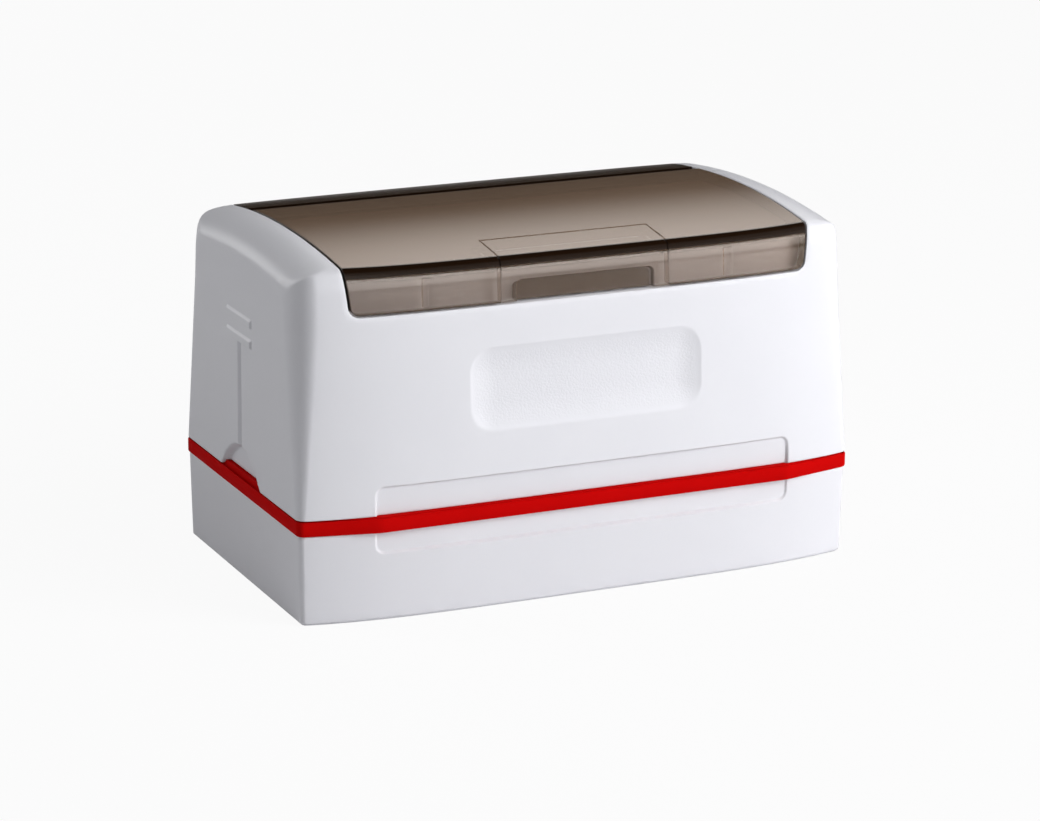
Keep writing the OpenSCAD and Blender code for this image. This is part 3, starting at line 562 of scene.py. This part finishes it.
# Its grid lines are close along the plaque, the grip recess, the marks, the lid's edge and the bend
HOUSING_COLUMNS = lines(
    (0, 15.4, 0.9), (15.4, 19.8, 0.5), (19.8, 21.4, 0.2), (21.4, 35.6, 0.9), (35.6, 37.6, 0.15),
    (37.6, 38.8, 0.4), (38.8, LID_COLUMN, 0.24)) / LID_COLUMN
SIDE_COLUMNS = lines((1, 2, 0.2), (2, 3, 1 / 16))[1:]
HOUSING_ROWS = lines(
    (RIM_Z + EDGE, 19.2, 0.2), (19.2, 21.9, 0.27), (21.9, 22.9, 0.13), (22.9, 23.6, 0.25), (23.6, 29.2, 0.8),
    (29.2, 31.2, 0.25), (31.2, 39.2, 0.5), (39.2, 40.6, 0.32), (40.6, 43.2, 0.12), (43.2, 44.0, 0.2),
    (44.0, 46.6, 0.12), (46.6, FLAP_Z, 0.8))
HOUSING_FLAP = lines((0, 0.24, 0.05), (0.24, 1, 0.09))
HOUSING_BEND = lines((0, 1, 1 / 8))[1:]
HOUSING_LEVELS = lines(
    (0, 1.35, 0.15), (1.35, 5.3, 0.4), (5.3, 6.1, 0.13), (6.1, 8.2, 0.4), (8.2, 9.5, 0.16), (9.5, 12.2, 0.45),
    (12.2, ROW_REACH, 0.9))
# Round the hinge the crown's rows make room for those of the knuckle's pocket
POCKET_CLEAR, POCKET_HALF, POCKET_ROWS = 1.6, 1.42, 9


def grip_share(x, z):
    """Share of the grip recess: 1 inside its outline and 0 outside, with a smooth step between."""
    middle, half = (GRIP_LOW + GRIP_HIGH) / 2, (GRIP_HIGH - GRIP_LOW) / 2
    return ramp(inside_box(x, z - middle, GRIP_HALF, half, GRIP_R), GRIP_EASE)


def grip_floor(x):
    """Half depth of the body at the floor of the grip recess, which is upright and half as bowed as the wall."""
    return HALF_D - GRIP_DEPTH - bow(x) / 2


def grip_cut(x, z):
    """Depth of the grip recess: from the leaning, bowed wall to its floor."""
    return np.maximum(wall_y(z) - bow(x) - grip_floor(x), 0) * grip_share(x, z)


def plaque_inside(x, z):
    """Distance inside the plaque's outline."""
    return inside_box(x, z - PLAQUE_Z, PLAQUE_HALF_W, PLAQUE_HALF_H, PLAQUE_R)


def plaque_cut(x, z):
    """Depth of the plaque: a shallow dish, 1 - (1 - t)^2 of its depth, where t runs to 1 over PLAQUE_EASE."""
    t = np.clip(plaque_inside(x, z) / PLAQUE_EASE, 0, 1)
    return PLAQUE_DEPTH * (1 - (1 - t) ** 2)


def mark_bar(y, z, low):
    """Share of a raised bar whose foot is at height low: the least of the ramps at its sloping top edge, its
    foot and its ends."""
    upright = np.minimum((low + MARK_H - z) / MARK_SLOPE, (z - low) / MARK_FOOT)
    return np.clip(np.minimum(upright, (MARK_HALF - np.abs(y)) / MARK_END), 0, 1)


def end_cut(y, z):
    """Depth of the marks on an end wall: the thumb scoop or the V groove above it, less two raised bars."""
    scoop = SCOOP_DEPTH * ramp(SCOOP_R - np.hypot(y, z - SCOOP_Z), SCOOP_EASE)
    front = (y + GROOVE_FRONT) / (GROOVE_FRONT - GROOVE_LINE)
    back = (GROOVE_BACK - y) / (GROOVE_BACK + GROOVE_LINE)
    vee = np.clip(np.minimum(front, back), 0, 1)
    groove = GROOVE_DEPTH * vee * ramp(GROOVE_TOP - z, GROOVE_EASE) * (z > GROOVE_LOW)
    return np.maximum(scoop, groove) - MARK_PROUD * sum(mark_bar(y, z, low) for low in MARK_Z)


def notch_rise(y):
    """Height of the notch in the foot of an end wall: level, with ends that slope at 45 degrees."""
    return np.clip(NOTCH_HALF - np.abs(y), 0, NOTCH_H)


def shrunk(loop, inset, z):
    """A loop drawn in by inset on every side, at height z."""
    return np.column_stack([loop[:, 0] * (1 - inset / HALF_W), loop[:, 1] * (1 - inset / HALF_D), z])


def end_wall(edge, crown, levels):
    """The right end wall: rows follow the corner's edge, and columns are the crown's rows. Above END_ARCH_Z the
    rows rise towards the arch by the square of their share of the way; near the foot they follow the notch."""
    last = edge[-1:]
    places = np.concatenate([[-ROW_REACH], levels, [ROW_REACH]])
    y = level_rows(places, -edge[:, 1:2], np.full(len(places), 3.0))
    arch = np.concatenate([last, crown, last])[:, 2]
    rise = np.clip((edge[:, 2] - END_ARCH_Z) / (edge[-1, 2] - END_ARCH_Z), 0, 1)
    z = edge[:, 2:3] + (arch - edge[-1, 2]) * rise[:, None] ** 2
    cut = end_cut(y, z) * ramp(np.abs(edge[:, 1:2]) - np.abs(y) - END_MARGIN, END_MARGIN)
    z = z + notch_rise(y) * np.clip(1 - (z - RIM_Z - EDGE) / NOTCH_FADE, 0, 1)
    end = np.stack([end_x(z) - cut, y, z], axis=-1)
    end[:, 0], end[:, -1] = edge, edge * MIRROR_Y
    end[-1] = np.concatenate([last, crown, last * MIRROR_Y])
    return end


def ceiling_posts():
    """Screw bosses, spring seats and ink sockets: turned profiles that reach up into the ceiling."""
    boss = [(BOSS_Z, BOSS_BORE_R), (BOSS_Z, BOSS_R), (POST_ROOT_Z, BOSS_R), (POST_ROOT_Z, 0), (BOSS_BORE_Z, 0),
            (BOSS_BORE_Z, BOSS_BORE_R)]
    seat = [(SPIGOT_Z, 0), (SPIGOT_Z, SPIGOT_R), (SEAT_Z, SPIGOT_R), (SEAT_Z, SEAT_R), (POST_ROOT_Z, SEAT_R),
            (POST_ROOT_Z, 0)]
    socket = [(SOCKET_Z, SOCKET_BORE_R), (SOCKET_Z, SOCKET_R), (POST_ROOT_Z, SOCKET_R),
              (POST_ROOT_Z, SOCKET_BORE_R)]
    posts = []
    for x in (1, -1):
        for y in (1, -1):
            posts.append(turned(boss, 2, (SCREW_X * x, SCREW_Y * y, 0)))
            posts.append(turned(seat, 2, (SPRING_X * x, SPRING_Y * y, 0)))
    return posts + [turned(socket, 2, (x, 0, 0)) for x in (-SOCKET_X, SOCKET_X)]


def make_housing():
    """The white body: outer skin with the lid's opening left out, a rounded rim, the deck under the lid,
    end walls, and a hollow closed by a flat ceiling."""
    columns = mirrored(np.concatenate([HOUSING_COLUMNS, SIDE_COLUMNS]))
    covered = mirrored(HOUSING_COLUMNS)
    low = (HOUSING_ROWS - RIM_Z) / (FLAP_Z - RIM_Z)
    levels = mirrored(HOUSING_LEVELS)[1:-1]
    pocket_rows = POCKET_HALF * np.sin(np.linspace(-1, 1, POCKET_ROWS) * math.pi / 2)
    levels = np.sort(np.concatenate([levels[np.abs(levels - HINGE_Y) > POCKET_CLEAR], HINGE_Y + pocket_rows]))
    hole, turn_in = LID_GAP + EDGE, EDGE * CORNER_SHARE

    foot = flap_foot(columns, hole)
    lower = wall_rows(columns, RIM_Z + (foot - RIM_Z) * low[:, None], hole, 0.0)
    x, z = lower[..., 0], lower[..., 2]
    front, back = lower.copy(), lower.copy()
    front[..., 1] += grip_cut(x, z) + plaque_cut(x, z)
    back[..., 1] += grip_cut(x, z)
    upper = front_skin(columns, HOUSING_FLAP, HOUSING_BEND, hole)
    crown = crown_skin(columns, levels, hole)
    skin = np.concatenate([front[:-1], upper, crown, back_of(upper), back_of(back[:-1])])
    rows, sides = len(skin), len(SIDE_COLUMNS)
    keep = np.ones((rows - 1, len(columns) - 1), bool)
    keep[len(low) - 1:rows - len(low), sides:-sides] = False
    blocks = [grid(skin, keep)]

    # Rim of the opening: two rows of a small round, then down to the deck, which dips under the knuckle
    def cover(grow, wall_in, top_in):
        """The skin under the lid, widened by grow and drawn in by wall_in and top_in."""
        head = front_skin(covered, HOUSING_FLAP, HOUSING_BEND, grow, wall_in, top_in)
        return np.concatenate([head, crown_skin(covered, levels, grow, wall_in, top_in), back_of(head)])

    def rim(rows):
        """The outline of a grid: first row, last column, last row and first column, in one loop."""
        return np.concatenate([rows[0], rows[1:, -1], rows[-1, -2::-1], rows[-2:0:-1, 0]])

    deck = cover(LID_GAP, FLAP_IN, DECK_IN)
    over_hinge = np.abs(deck[..., 1] - HINGE_Y)
    pocket = HINGE_Z - np.sqrt(np.maximum((KNUCKLE_R + LID_GAP) ** 2 - over_hinge**2, 0))
    deck[..., 2] = np.where(over_hinge < KNUCKLE_R, np.minimum(deck[..., 2], pocket), deck[..., 2])
    rings = [rim(cover(hole, 0, 0)), rim(cover(LID_GAP + turn_in, turn_in, turn_in)),
             rim(cover(LID_GAP, EDGE, EDGE)), rim(deck)]
    blocks += [grid(np.stack(rings), loop=True), grid(deck)]

    end = end_wall(np.concatenate([lower[:-1], upper])[:, -1], crown[:, -1], levels)
    blocks += [grid(end), grid(end * MIRROR_X)]

    # Foot: a small round under the skin, then the hollow's walls up to its ceiling
    loop = np.concatenate([front[0], end[0, 1:-1], back[0, ::-1] * MIRROR_Y, end[0, -2:0:-1] * MIRROR_X])
    foot_z, knee_z = loop[:, 2] - EDGE, np.full(len(loop), HOLLOW_KNEE_Z)
    hollow = loop * [HOLLOW_X / HALF_W, HOLLOW_Y / HALF_D, 0]
    rings = [loop, shrunk(loop, turn_in, foot_z + turn_in), shrunk(loop, EDGE, foot_z),
             shrunk(loop, WALL, foot_z), shrunk(loop, WALL + HOLLOW_DRAFT, knee_z),
             hollow + [0, 0, LEDGE_Z], hollow + [0, 0, CEILING_Z]]
    blocks.append(grid(np.stack(rings), loop=True))
    ceiling = sum(len(points) for points, _ in blocks) - len(loop) + np.arange(len(loop))
    blocks += ceiling_posts()

    plaque = ramp(plaque_inside(x, z) - GRAIN_IN, GRAIN_EASE)[:-1].ravel()
    grain = np.zeros(sum(len(points) for points, _ in blocks))
    grain[:len(plaque)] = plaque
    piece("housing", blocks, "stamp_body", "white_plastic", marks={"plaque": grain}, caps=[ceiling])


# Cap and guide frame: plan loops stacked in height

# Lines of a plan, as shares: along the front, close at the ends of the grip; round a corner; along an end, close
# at the ends of the notch
FRONT_REACH, END_REACH, PLAN_LEAST_R = 48.55, 25.0, 0.6
FRONT_LINES = lines((0, 33.6, 1.2), (33.6, 35.8, 0.25), (35.8, 37.8, 0.1), (37.8, 48, 0.8)) / FRONT_REACH
FRONT_LINES = mirrored(np.append(FRONT_LINES, 1.0))
CORNER_LINES = lines((0, 1, 0.1))[1:]
END_LINES = lines((-24, -9.6, 1.8), (-9.6, -8, 0.16), (-8, 8, 1.6), (8, 9.6, 0.16), (9.6, 24, 1.8)) / -END_REACH
# Rows of the cap's wall, close at the foot of the grip recess
CAP_ROWS = lines((0.6, 10.9, 1.3), (10.9, 11.9, 0.1), (11.9, 13.2, 0.2), (13.2, CAP_Z - 0.35, 0.4))[1:]


def plan_loop(half_x, half_y, r, bowed):
    """A closed plan: front, corner arcs, ends and back, each half mirrored. The front falls away by the bow, if
    bowed, and the arcs start from the front's slope."""
    fall = bow if bowed else np.zeros_like
    reach = half_x - r
    slope = BOW * BOW_POWER / half_x * (reach / half_x) ** (BOW_POWER - 1) if bowed else 0.0
    start = math.atan(slope)
    reach = half_x - r * (1 - math.sin(start))
    x = FRONT_LINES * reach
    middle = float(fall(np.array([reach]))[0]) - half_y + r * math.cos(start)
    angle = start + (math.pi / 2 - start) * CORNER_LINES
    arc = np.column_stack([half_x - r + r * np.sin(angle), middle - r * np.cos(angle)])
    straight = np.column_stack([np.full(END_LINES.size, half_x), middle * END_LINES])
    quarter = np.concatenate([arc, straight, arc[::-1] * [1, -1]])
    face = np.column_stack([x, fall(x) - half_y])
    return np.concatenate([face, quarter, face[::-1] * [1, -1], quarter[::-1] * [-1, 1]])


def body_plan(inset):
    """The body's plan drawn in by inset."""
    return plan_loop(HALF_W - inset, HALF_D - inset, max(PLAN_LEAST_R, CORNER_LOW - inset / 2), True)


def band_plan(inset):
    """The red band's plan drawn in by inset: straight along the lip, then a straight facet to the corner. A
    parabola eases one into the other."""
    plan = body_plan(inset)
    reach, out = plan[len(FRONT_LINES) - 1, 0], np.abs(plan[:, 0])
    over = out - LIP_HALF
    past = np.where(np.abs(over) < LIP_EASE, (over + LIP_EASE) ** 2 / (4 * LIP_EASE), np.maximum(over, 0))
    fall = bow(np.array([reach])) * past / (reach - LIP_HALF)
    plan[:, 1] += np.sign(plan[:, 1]) * np.where(out < reach, bow(out) - fall, 0)
    return plan


def at_height(plan, z):
    """A plan as points at height z, which is one number or one for each point."""
    return np.column_stack([plan, np.broadcast_to(z, len(plan))])


def make_dust_cap():
    """The white tray: chamfered foot, tapering wall, rounded rim, inner wall and floor. The grip recess is cut
    into the rows outside, and keeps the rim's round."""
    outside = CAP_FOOT + [(z, CAP_INSET - CAP_TAPER * z / CAP_Z) for z in CAP_ROWS] + CAP_RIM
    loops = np.array([at_height(body_plan(inset), z) for z, inset in outside + CAP_INSIDE])
    outer = loops[:len(outside)]
    x, y, z = outer[..., 0], outer[..., 1], outer[..., 2]
    rounded = np.array([inset for _, inset in outside])[:, None] - CAP_RIM_INSET
    cut = np.maximum(np.abs(y) - grip_floor(x) + np.maximum(rounded, 0) * (z > CAP_RIM_Z), 0)
    outer[..., 1] -= np.sign(y) * cut * grip_share(x, z)
    points, quads = grid(loops, loop=True)
    n = loops.shape[1]
    piece("dust_cap", [(points, quads)], "dust_cap", "white_plastic", marks={"plaque": np.zeros(len(points))},
          caps=[np.arange(n), len(points) - n + np.arange(n)])


def make_guide_frame():
    """The red frame: collar, band with a straight lip in the grip recess and a tongue in each end's notch, and
    upstand round one opening."""
    opening, collar, upstand = (plan_loop(*half, RING_R, False) for half in (OPENING, COLLAR, UPSTAND))
    face = band_plan(0)
    tongue = np.clip(notch_rise(face[:, 1]) - NOTCH_GAP, 0, 1)
    top_z = RIM_Z + np.where(np.abs(face[:, 0]) > END_FACE_X, tongue, 0)
    stack = [(opening, COLLAR_Z), (collar, COLLAR_Z), (collar, CAP_Z)]
    stack += [(band_plan(inset), z) for inset, z in BAND]
    stack += [(band_plan(NOTCH_BACK + TONGUE_LEAN), top_z), (upstand, top_z), (upstand, UPSTAND_Z),
              (opening, UPSTAND_Z), (opening, COLLAR_Z)]
    loops = np.array([at_height(plan, z) for plan, z in stack])
    piece("guide_frame", [grid(loops, loop=True)], "stamp_body", "red_plastic")


# Smoked lid, latch and rear cover

# Their grid lines are close along the ribs, the catch, the lid's corners and the dark bend
TAB_EDGE, COVER_SIDE, CROWN_START, LAST_ROW = TAB_HALF + TAB_GAP, 38.6, -ROW_REACH + 0.15, 0.3
TAB_BACK, LID_BACK = -TAB_Y + TAB_BACK_GAP, HINGE_Y - KNUCKLE_R / 3
COVER_BEND = lines((0, 1, 1 / 12))[1:]
LID_COLUMNS = lines((0, TAB_EDGE, 1.0), (TAB_EDGE, RIB_X - 1, 1.0), (RIB_X - 1, RIB_X + 1, 0.2),
                    (RIB_X + 1, COVER_SIDE, 1.0), (COVER_SIDE, LID_COLUMN, 0.25))
LID_FLAP = lines((0, 0.24, 0.04), (0.24, 0.84, 0.05), (0.84, 1, 0.02))
LID_LEVELS = lines((CROWN_START, TAB_BACK, 0.9), (TAB_BACK, LID_BACK - LAST_ROW, 1.1),
                   (LID_BACK - LAST_ROW, LID_BACK, LAST_ROW))
LATCH_COLUMNS = lines((0, 11.2, 1.0), (11.2, 12.8, 0.12), (12.8, TAB_HALF, 0.5))
LATCH_FLAP = lines((0, 0.36, 0.06), (0.36, 0.7, 0.02), (0.7, 0.84, 0.06), (0.84, 1, 0.02))
LATCH_LEVELS = lines((CROWN_START, -TAB_Y, 0.9))
REAR_COLUMNS = lines((0, COVER_SIDE, 1.4), (COVER_SIDE, LID_COLUMN, 0.2))
REAR_FLAP = lines((0, 0.24, 0.05), (0.24, 0.84, 0.1), (0.84, 1, 0.02))
REAR_LEVELS = lines((CROWN_START, -REAR_Y - LAST_ROW, 0.9), (-REAR_Y - LAST_ROW, -REAR_Y, LAST_ROW))


def cover_faces(columns, flap, levels, wall_t, top_t):
    """Outer and inner face of a smoked cover: the flap and its bend, then the crown's rows. The inner face is
    drawn in by wall_t and top_t."""
    columns = mirrored(columns) / LID_COLUMN
    return [np.concatenate([front_skin(columns, flap, COVER_BEND, 0.0, wall_in, top_in),
                            crown_skin(columns, levels, 0.0, wall_in, top_in)])
            for wall_in, top_in in ((0.0, 0.0), (wall_t, top_t))]


def painted_dark_band(skin, crown):
    """Share of the painted dark band at the bend, which stands for the dark reflection there: full above the
    band's height on the wall and the bend, none on the crown, which is the last rows."""
    thick_and_painted_shade = ramp(skin[..., 2] - DARK_BAND_Z, DARK_BAND_EASE)
    thick_and_painted_shade[-crown:] = 0
    return thick_and_painted_shade


def within(thick_and_painted_shade, flap):
    """The same share on the inner face: the rows of the wall stay clear, apart from their ends."""
    inner = thick_and_painted_shade.copy()
    inner[:flap, 1:-1] = 0
    return inner


def make_lid():
    """The smoked lid: a sheet from the flap's foot over the bend to the hinge, with the latch tab's space
    left out, two ribs inside the flap, and a knuckle bar bored at both ends for the pins."""
    outer, inner = cover_faces(LID_COLUMNS, LID_FLAP, LID_LEVELS, LID_T, LID_T)
    ribs = ramp(RIB_HALF - np.abs(np.abs(inner[..., 0]) - RIB_X), RIB_EASE)
    ribs = ribs * ramp(RIB_TOP - inner[..., 2], RIB_TOP_EASE)
    ribs[len(LID_FLAP):] = 0
    inner[..., 1] += RIB_DEPTH * ribs
    keep = np.ones((outer.shape[0] - 1, outer.shape[1] - 1), bool)
    tab = np.abs(mirrored(LID_COLUMNS)) < TAB_EDGE + MERGE
    tab_rows = int(np.argmin(np.abs(LID_LEVELS - TAB_BACK))) + len(LID_FLAP) + len(COVER_BEND)
    keep[:tab_rows, tab[:-1] & tab[1:]] = False
    half = [(KNUCKLE_X, KNUCKLE_R), (KNUCKLE_X, PIN_BORE_R), (PIN_INNER_X, PIN_BORE_R), (PIN_INNER_X, 0)]
    bar = [(-along, radius) for along, radius in half[1::-1]] + half
    bar += [(-along, radius) for along, radius in half[:1:-1]]
    knuckle = turned(bar, 0, (0, HINGE_Y, HINGE_Z))
    thick_and_painted_shade = painted_dark_band(outer, len(LID_LEVELS))
    # Painted shadow: the foot's row, and half the next, are painted dark as the shadow in the gap under the
    # flap; the last row and the side edges are painted dark as well
    thick_and_painted_shade[0], thick_and_painted_shade[1], thick_and_painted_shade[-1], thick_and_painted_shade[:, 0], thick_and_painted_shade[:, -1] = 1, 0.5, 1, 1, 1  # edges are seen along the sheet
    thick_and_painted_shade = np.concatenate([thick_and_painted_shade.ravel(), within(thick_and_painted_shade, len(LID_FLAP)).ravel(), np.ones(len(knuckle[0]))])
    sheet, edge = sheet_between(outer, inner, keep)
    edge = np.concatenate([edge, np.zeros(len(knuckle[1]))])
    piece("lid", [sheet, knuckle], "lid", "smoked_plastic", LID_ROUND, {"thick_and_painted_shade": thick_and_painted_shade, "edge": edge})


def make_lid_latch():
    """The latch tab: the middle of the flap and its bend, with a finger catch pressed into its face. The catch
    is a rectangle with round corners that runs out at the flap's foot; it is painted darker as shade in the
    recess, and darkest on its rim as a painted outline."""
    outer, inner = cover_faces(LATCH_COLUMNS, LATCH_FLAP, LATCH_LEVELS, LID_T, LID_T)
    low, high = FLAP_Z - CATCH_BELOW, FLAP_Z + CATCH_H
    inside = inside_box(outer[..., 0], outer[..., 2] - (low + high) / 2, CATCH_HALF, (high - low) / 2, CATCH_R)
    catch = ramp(inside, CATCH_EASE)
    catch[len(LATCH_FLAP):] = 0
    outer[..., 1] += CATCH_DEPTH * catch
    # Painted shade in the catch's recess, darkest on its rim as a painted outline
    catch_painted_shade = CATCH_PAINTED_SHADE * catch + CATCH_RIM_PAINTED_SHADE * catch * (1 - catch)
    thick_and_painted_shade = painted_dark_band(outer, len(LATCH_LEVELS))
    thick_and_painted_shade = np.concatenate([(thick_and_painted_shade + catch_painted_shade).ravel(), (within(thick_and_painted_shade, len(LATCH_FLAP)) + catch_painted_shade).ravel()])
    sheet, edge = sheet_between(outer, inner)
    piece("lid_latch", [sheet], "lid_latch", "smoked_plastic", LID_ROUND, {"thick_and_painted_shade": thick_and_painted_shade, "edge": edge})


def make_rear_cover():
    """The fixed smoked strip behind the hinge: the front's sheet mirrored to the back, without a tab."""
    outer, inner = cover_faces(REAR_COLUMNS, REAR_FLAP, REAR_LEVELS, FLAP_IN - REAR_GAP, DECK_IN - REAR_GAP)
    thick_and_painted_shade = painted_dark_band(outer, len(REAR_LEVELS))
    # Painted shade: the strip's crown rows are painted darker than the lid's
    thick_and_painted_shade[-len(REAR_LEVELS):] = REAR_PAINTED_SHADE
    # Painted shadow: the foot's row is painted dark as the shadow in the gap under it; the other edges are
    # painted dark as well
    thick_and_painted_shade[0], thick_and_painted_shade[-1], thick_and_painted_shade[:, 0], thick_and_painted_shade[:, -1] = REAR_FOOT_PAINTED_SHADOW, 1, 1, 1
    thick_and_painted_shade = np.tile(thick_and_painted_shade[::-1].ravel(), 2)
    sheet, edge = sheet_between(back_of(outer), back_of(inner))
    piece("rear_cover", [sheet], "stamp_body", "smoked_plastic", LID_ROUND, {"thick_and_painted_shade": thick_and_painted_shade, "edge": edge})


make_housing()
make_dust_cap()
make_guide_frame()
make_lid()
make_lid_latch()
make_rear_cover()

# The CAD nodes that stay get their slot's finish, but the latch pins that of the lid they sit in
slots = {row["node"]: row["material_slot"] for row in frame["record"]["subparts"]}
for name, node in frame["nodes"].items():
    node.data.materials.clear()
    node.data.materials.append(FINISHES["smoked_plastic" if name.startswith("latch_pin") else slots[name]])


# Camera, light and floor

# Angles in degrees, target and distance in millimetres, focal length and image width in pixels
CAMERA_AZIMUTH, CAMERA_ELEVATION, CAMERA_ROLL = -24.511, 16.183, 0.386
CAMERA_TARGET, CAMERA_DISTANCE = (0.874, 0, 23.567), 640.65
CAMERA_FOCAL, IMAGE_WIDTH, SENSOR_WIDTH = 3754.67, 1040, 36
# Floor in metres, just under the part, and how much of it the camera sees as white
FLOOR_HALF, FLOOR_Z, FLOOR_WHITE = 4, -0.00005, 0.93
# Name, place and size in metres, power in watts, and whether reflections show the lamp
LAMP_AIM = (0, 0, 0.03)
LAMPS = [
    ("key", (0.41, -0.40, 0.20), (0.3, 0.3), 2.7, False),
    ("high_key", (0.45, -0.60, 0.75), (0.6, 0.5), 3.1, False),
    ("left_back", (-0.68, 0.50, 0.48), (0.5, 0.5), 2.05, True),
    ("top", (0.0, 0.0, 1.0), (0.6, 0.6), 1.1, False),
    ("rear_fill", (0.10, 0.90, 0.12), (0.6, 0.3), 1.2, False),
]
# Strengths of the room: its parts as reflections show them, and its even light on matte surfaces
ROOM_DIM, WALLS, BACKDROP, WINDOW, SILL, ROOM_LIGHT = 0.02, 0.25, 2.6, 2.2, 3.6, 0.14


def set_camera():
    """The photograph's view: azimuth, elevation, distance and roll, with the lens of the fitted camera."""
    azimuth, elevation, roll = (math.radians(a) for a in (CAMERA_AZIMUTH, CAMERA_ELEVATION, CAMERA_ROLL))
    back = Vector((math.sin(azimuth) * math.cos(elevation), -math.cos(azimuth) * math.cos(elevation),
                   math.sin(elevation)))
    right = (-back).cross(Vector((0, 0, 1))).normalized()
    up = right.cross(-back)
    right, up = right * math.cos(roll) + up * math.sin(roll), up * math.cos(roll) - right * math.sin(roll)
    lens = bpy.data.cameras.new("camera")
    lens.sensor_width, lens.sensor_fit = SENSOR_WIDTH, "HORIZONTAL"
    lens.lens = CAMERA_FOCAL * SENSOR_WIDTH / IMAGE_WIDTH
    lens.clip_start, lens.clip_end = 0.01, 20
    camera = bpy.data.objects.new("camera", lens)
    turned_to = Matrix((right, up, back)).transposed().to_4x4()
    place = Vector(CAMERA_TARGET) + back * CAMERA_DISTANCE
    camera.matrix_world = Matrix.Translation(place * MM) @ turned_to
    bpy.context.scene.collection.objects.link(camera)
    bpy.context.scene.camera = camera


def set_floor():
    """A pale matte floor that the camera sees as nearly white, so that it keeps a shadow."""
    corners = [(x * FLOOR_HALF, y * FLOOR_HALF, FLOOR_Z) for x, y in ((-1, -1), (1, -1), (1, 1), (-1, 1))]
    mesh = bpy.data.meshes.new("floor")
    mesh.from_pydata(corners, [], [(0, 1, 2, 3)])
    floor = bpy.data.objects.new("floor", mesh)
    bpy.context.scene.collection.objects.link(floor)
    paper = bpy.data.materials.new("floor_paper")
    wire = new_tree(paper)
    seen = wire.node("LightPath", {}, {}, "Is Camera Ray")
    matte = wire.node("BsdfDiffuse", {}, {"Color": rgb(0.70, 0.70, 0.71)})
    white = wire.node("Emission", {}, {"Color": rgb(1, 1, 1), "Strength": 1.0})
    surface = wire.node("MixShader", {}, {0: seen * FLOOR_WHITE, 1: matte, 2: white})
    wire.node("OutputMaterial", {}, {"Surface": surface})
    mesh.materials.append(paper)


def set_lamps():
    """Soft rectangular lamps, each turned towards LAMP_AIM."""
    for name, place, size, power, glossy in LAMPS:
        data = bpy.data.lights.new(name, "AREA")
        data.shape, data.size, data.size_y, data.energy = "RECTANGLE", size[0], size[1], power
        made = bpy.data.objects.new(name, data)
        turned_to = (Vector(LAMP_AIM) - Vector(place)).to_track_quat("-Z", "Y").to_matrix().to_4x4()
        made.matrix_world = Matrix.Translation(place) @ turned_to
        made.visible_glossy = glossy
        bpy.context.scene.collection.objects.link(made)


def set_room():
    """A white room with even light. In reflections it is dim, with pale walls in front, a backdrop and a window
    behind, and a bright sill low in front: each is a product of smooth steps in the direction's X, Y and Z."""
    world = bpy.data.worlds.new("room")
    bpy.context.scene.world = world
    wire = new_tree(world)
    rays = ("Is Camera Ray", "Is Transmission Ray", "Is Glossy Ray")
    seen, clear, gloss = (wire.node("LightPath", {}, {}, ray) for ray in rays)
    place = wire.node("TexCoord", {}, {}, "Generated")
    aside, depth, height = (wire.node("SeparateXYZ", {}, {0: place}, axis) for axis in range(3))

    def step(value, low, high):
        """A smooth step from 0 at low to 1 at high, which may be the lesser."""
        return wire.node("MapRange", {"interpolation_type": "SMOOTHSTEP"},
                         {"Value": value, "From Min": low, "From Max": high})

    walls = step(height, 0.05, 0.3) * step(height, 0.8, 0.6) * step(depth, 0.3, 0.0)
    backdrop = step(height, 0.22, 0.62) * step(height, 0.75, 0.63)
    backdrop = backdrop * step(aside, 0.2, 0.42) * step(depth, 0.2, 0.5)
    window = step(aside, -0.20, -0.32) * step(height, -0.06, 0.0)
    window = window * step(height, 0.42, 0.34) * step(depth, 0.4, 0.7)
    rim = height + 0.12 * aside
    sill = (step(height, -0.14, 0.1) + step(rim, 0.2, 0.28)) * step(rim, 0.3, 0.285)
    sill = sill * step(depth, -0.4, -0.75) * step(aside, -0.2, 0.0)
    reflected = ROOM_DIM + WALLS * walls + BACKDROP * backdrop + WINDOW * window + SILL * sill
    plain = wire.math("MAXIMUM", seen, clear)
    strength = plain + (1 - plain) * (gloss * reflected + (1 - gloss) * ROOM_LIGHT)
    room = wire.node("Background", {}, {"Color": rgb(1, 1, 1), "Strength": strength})
    wire.node("OutputWorld", {}, {"Surface": room})
    bpy.context.scene.view_settings.view_transform = "Standard"


set_camera()
set_floor()
set_lamps()
set_room()
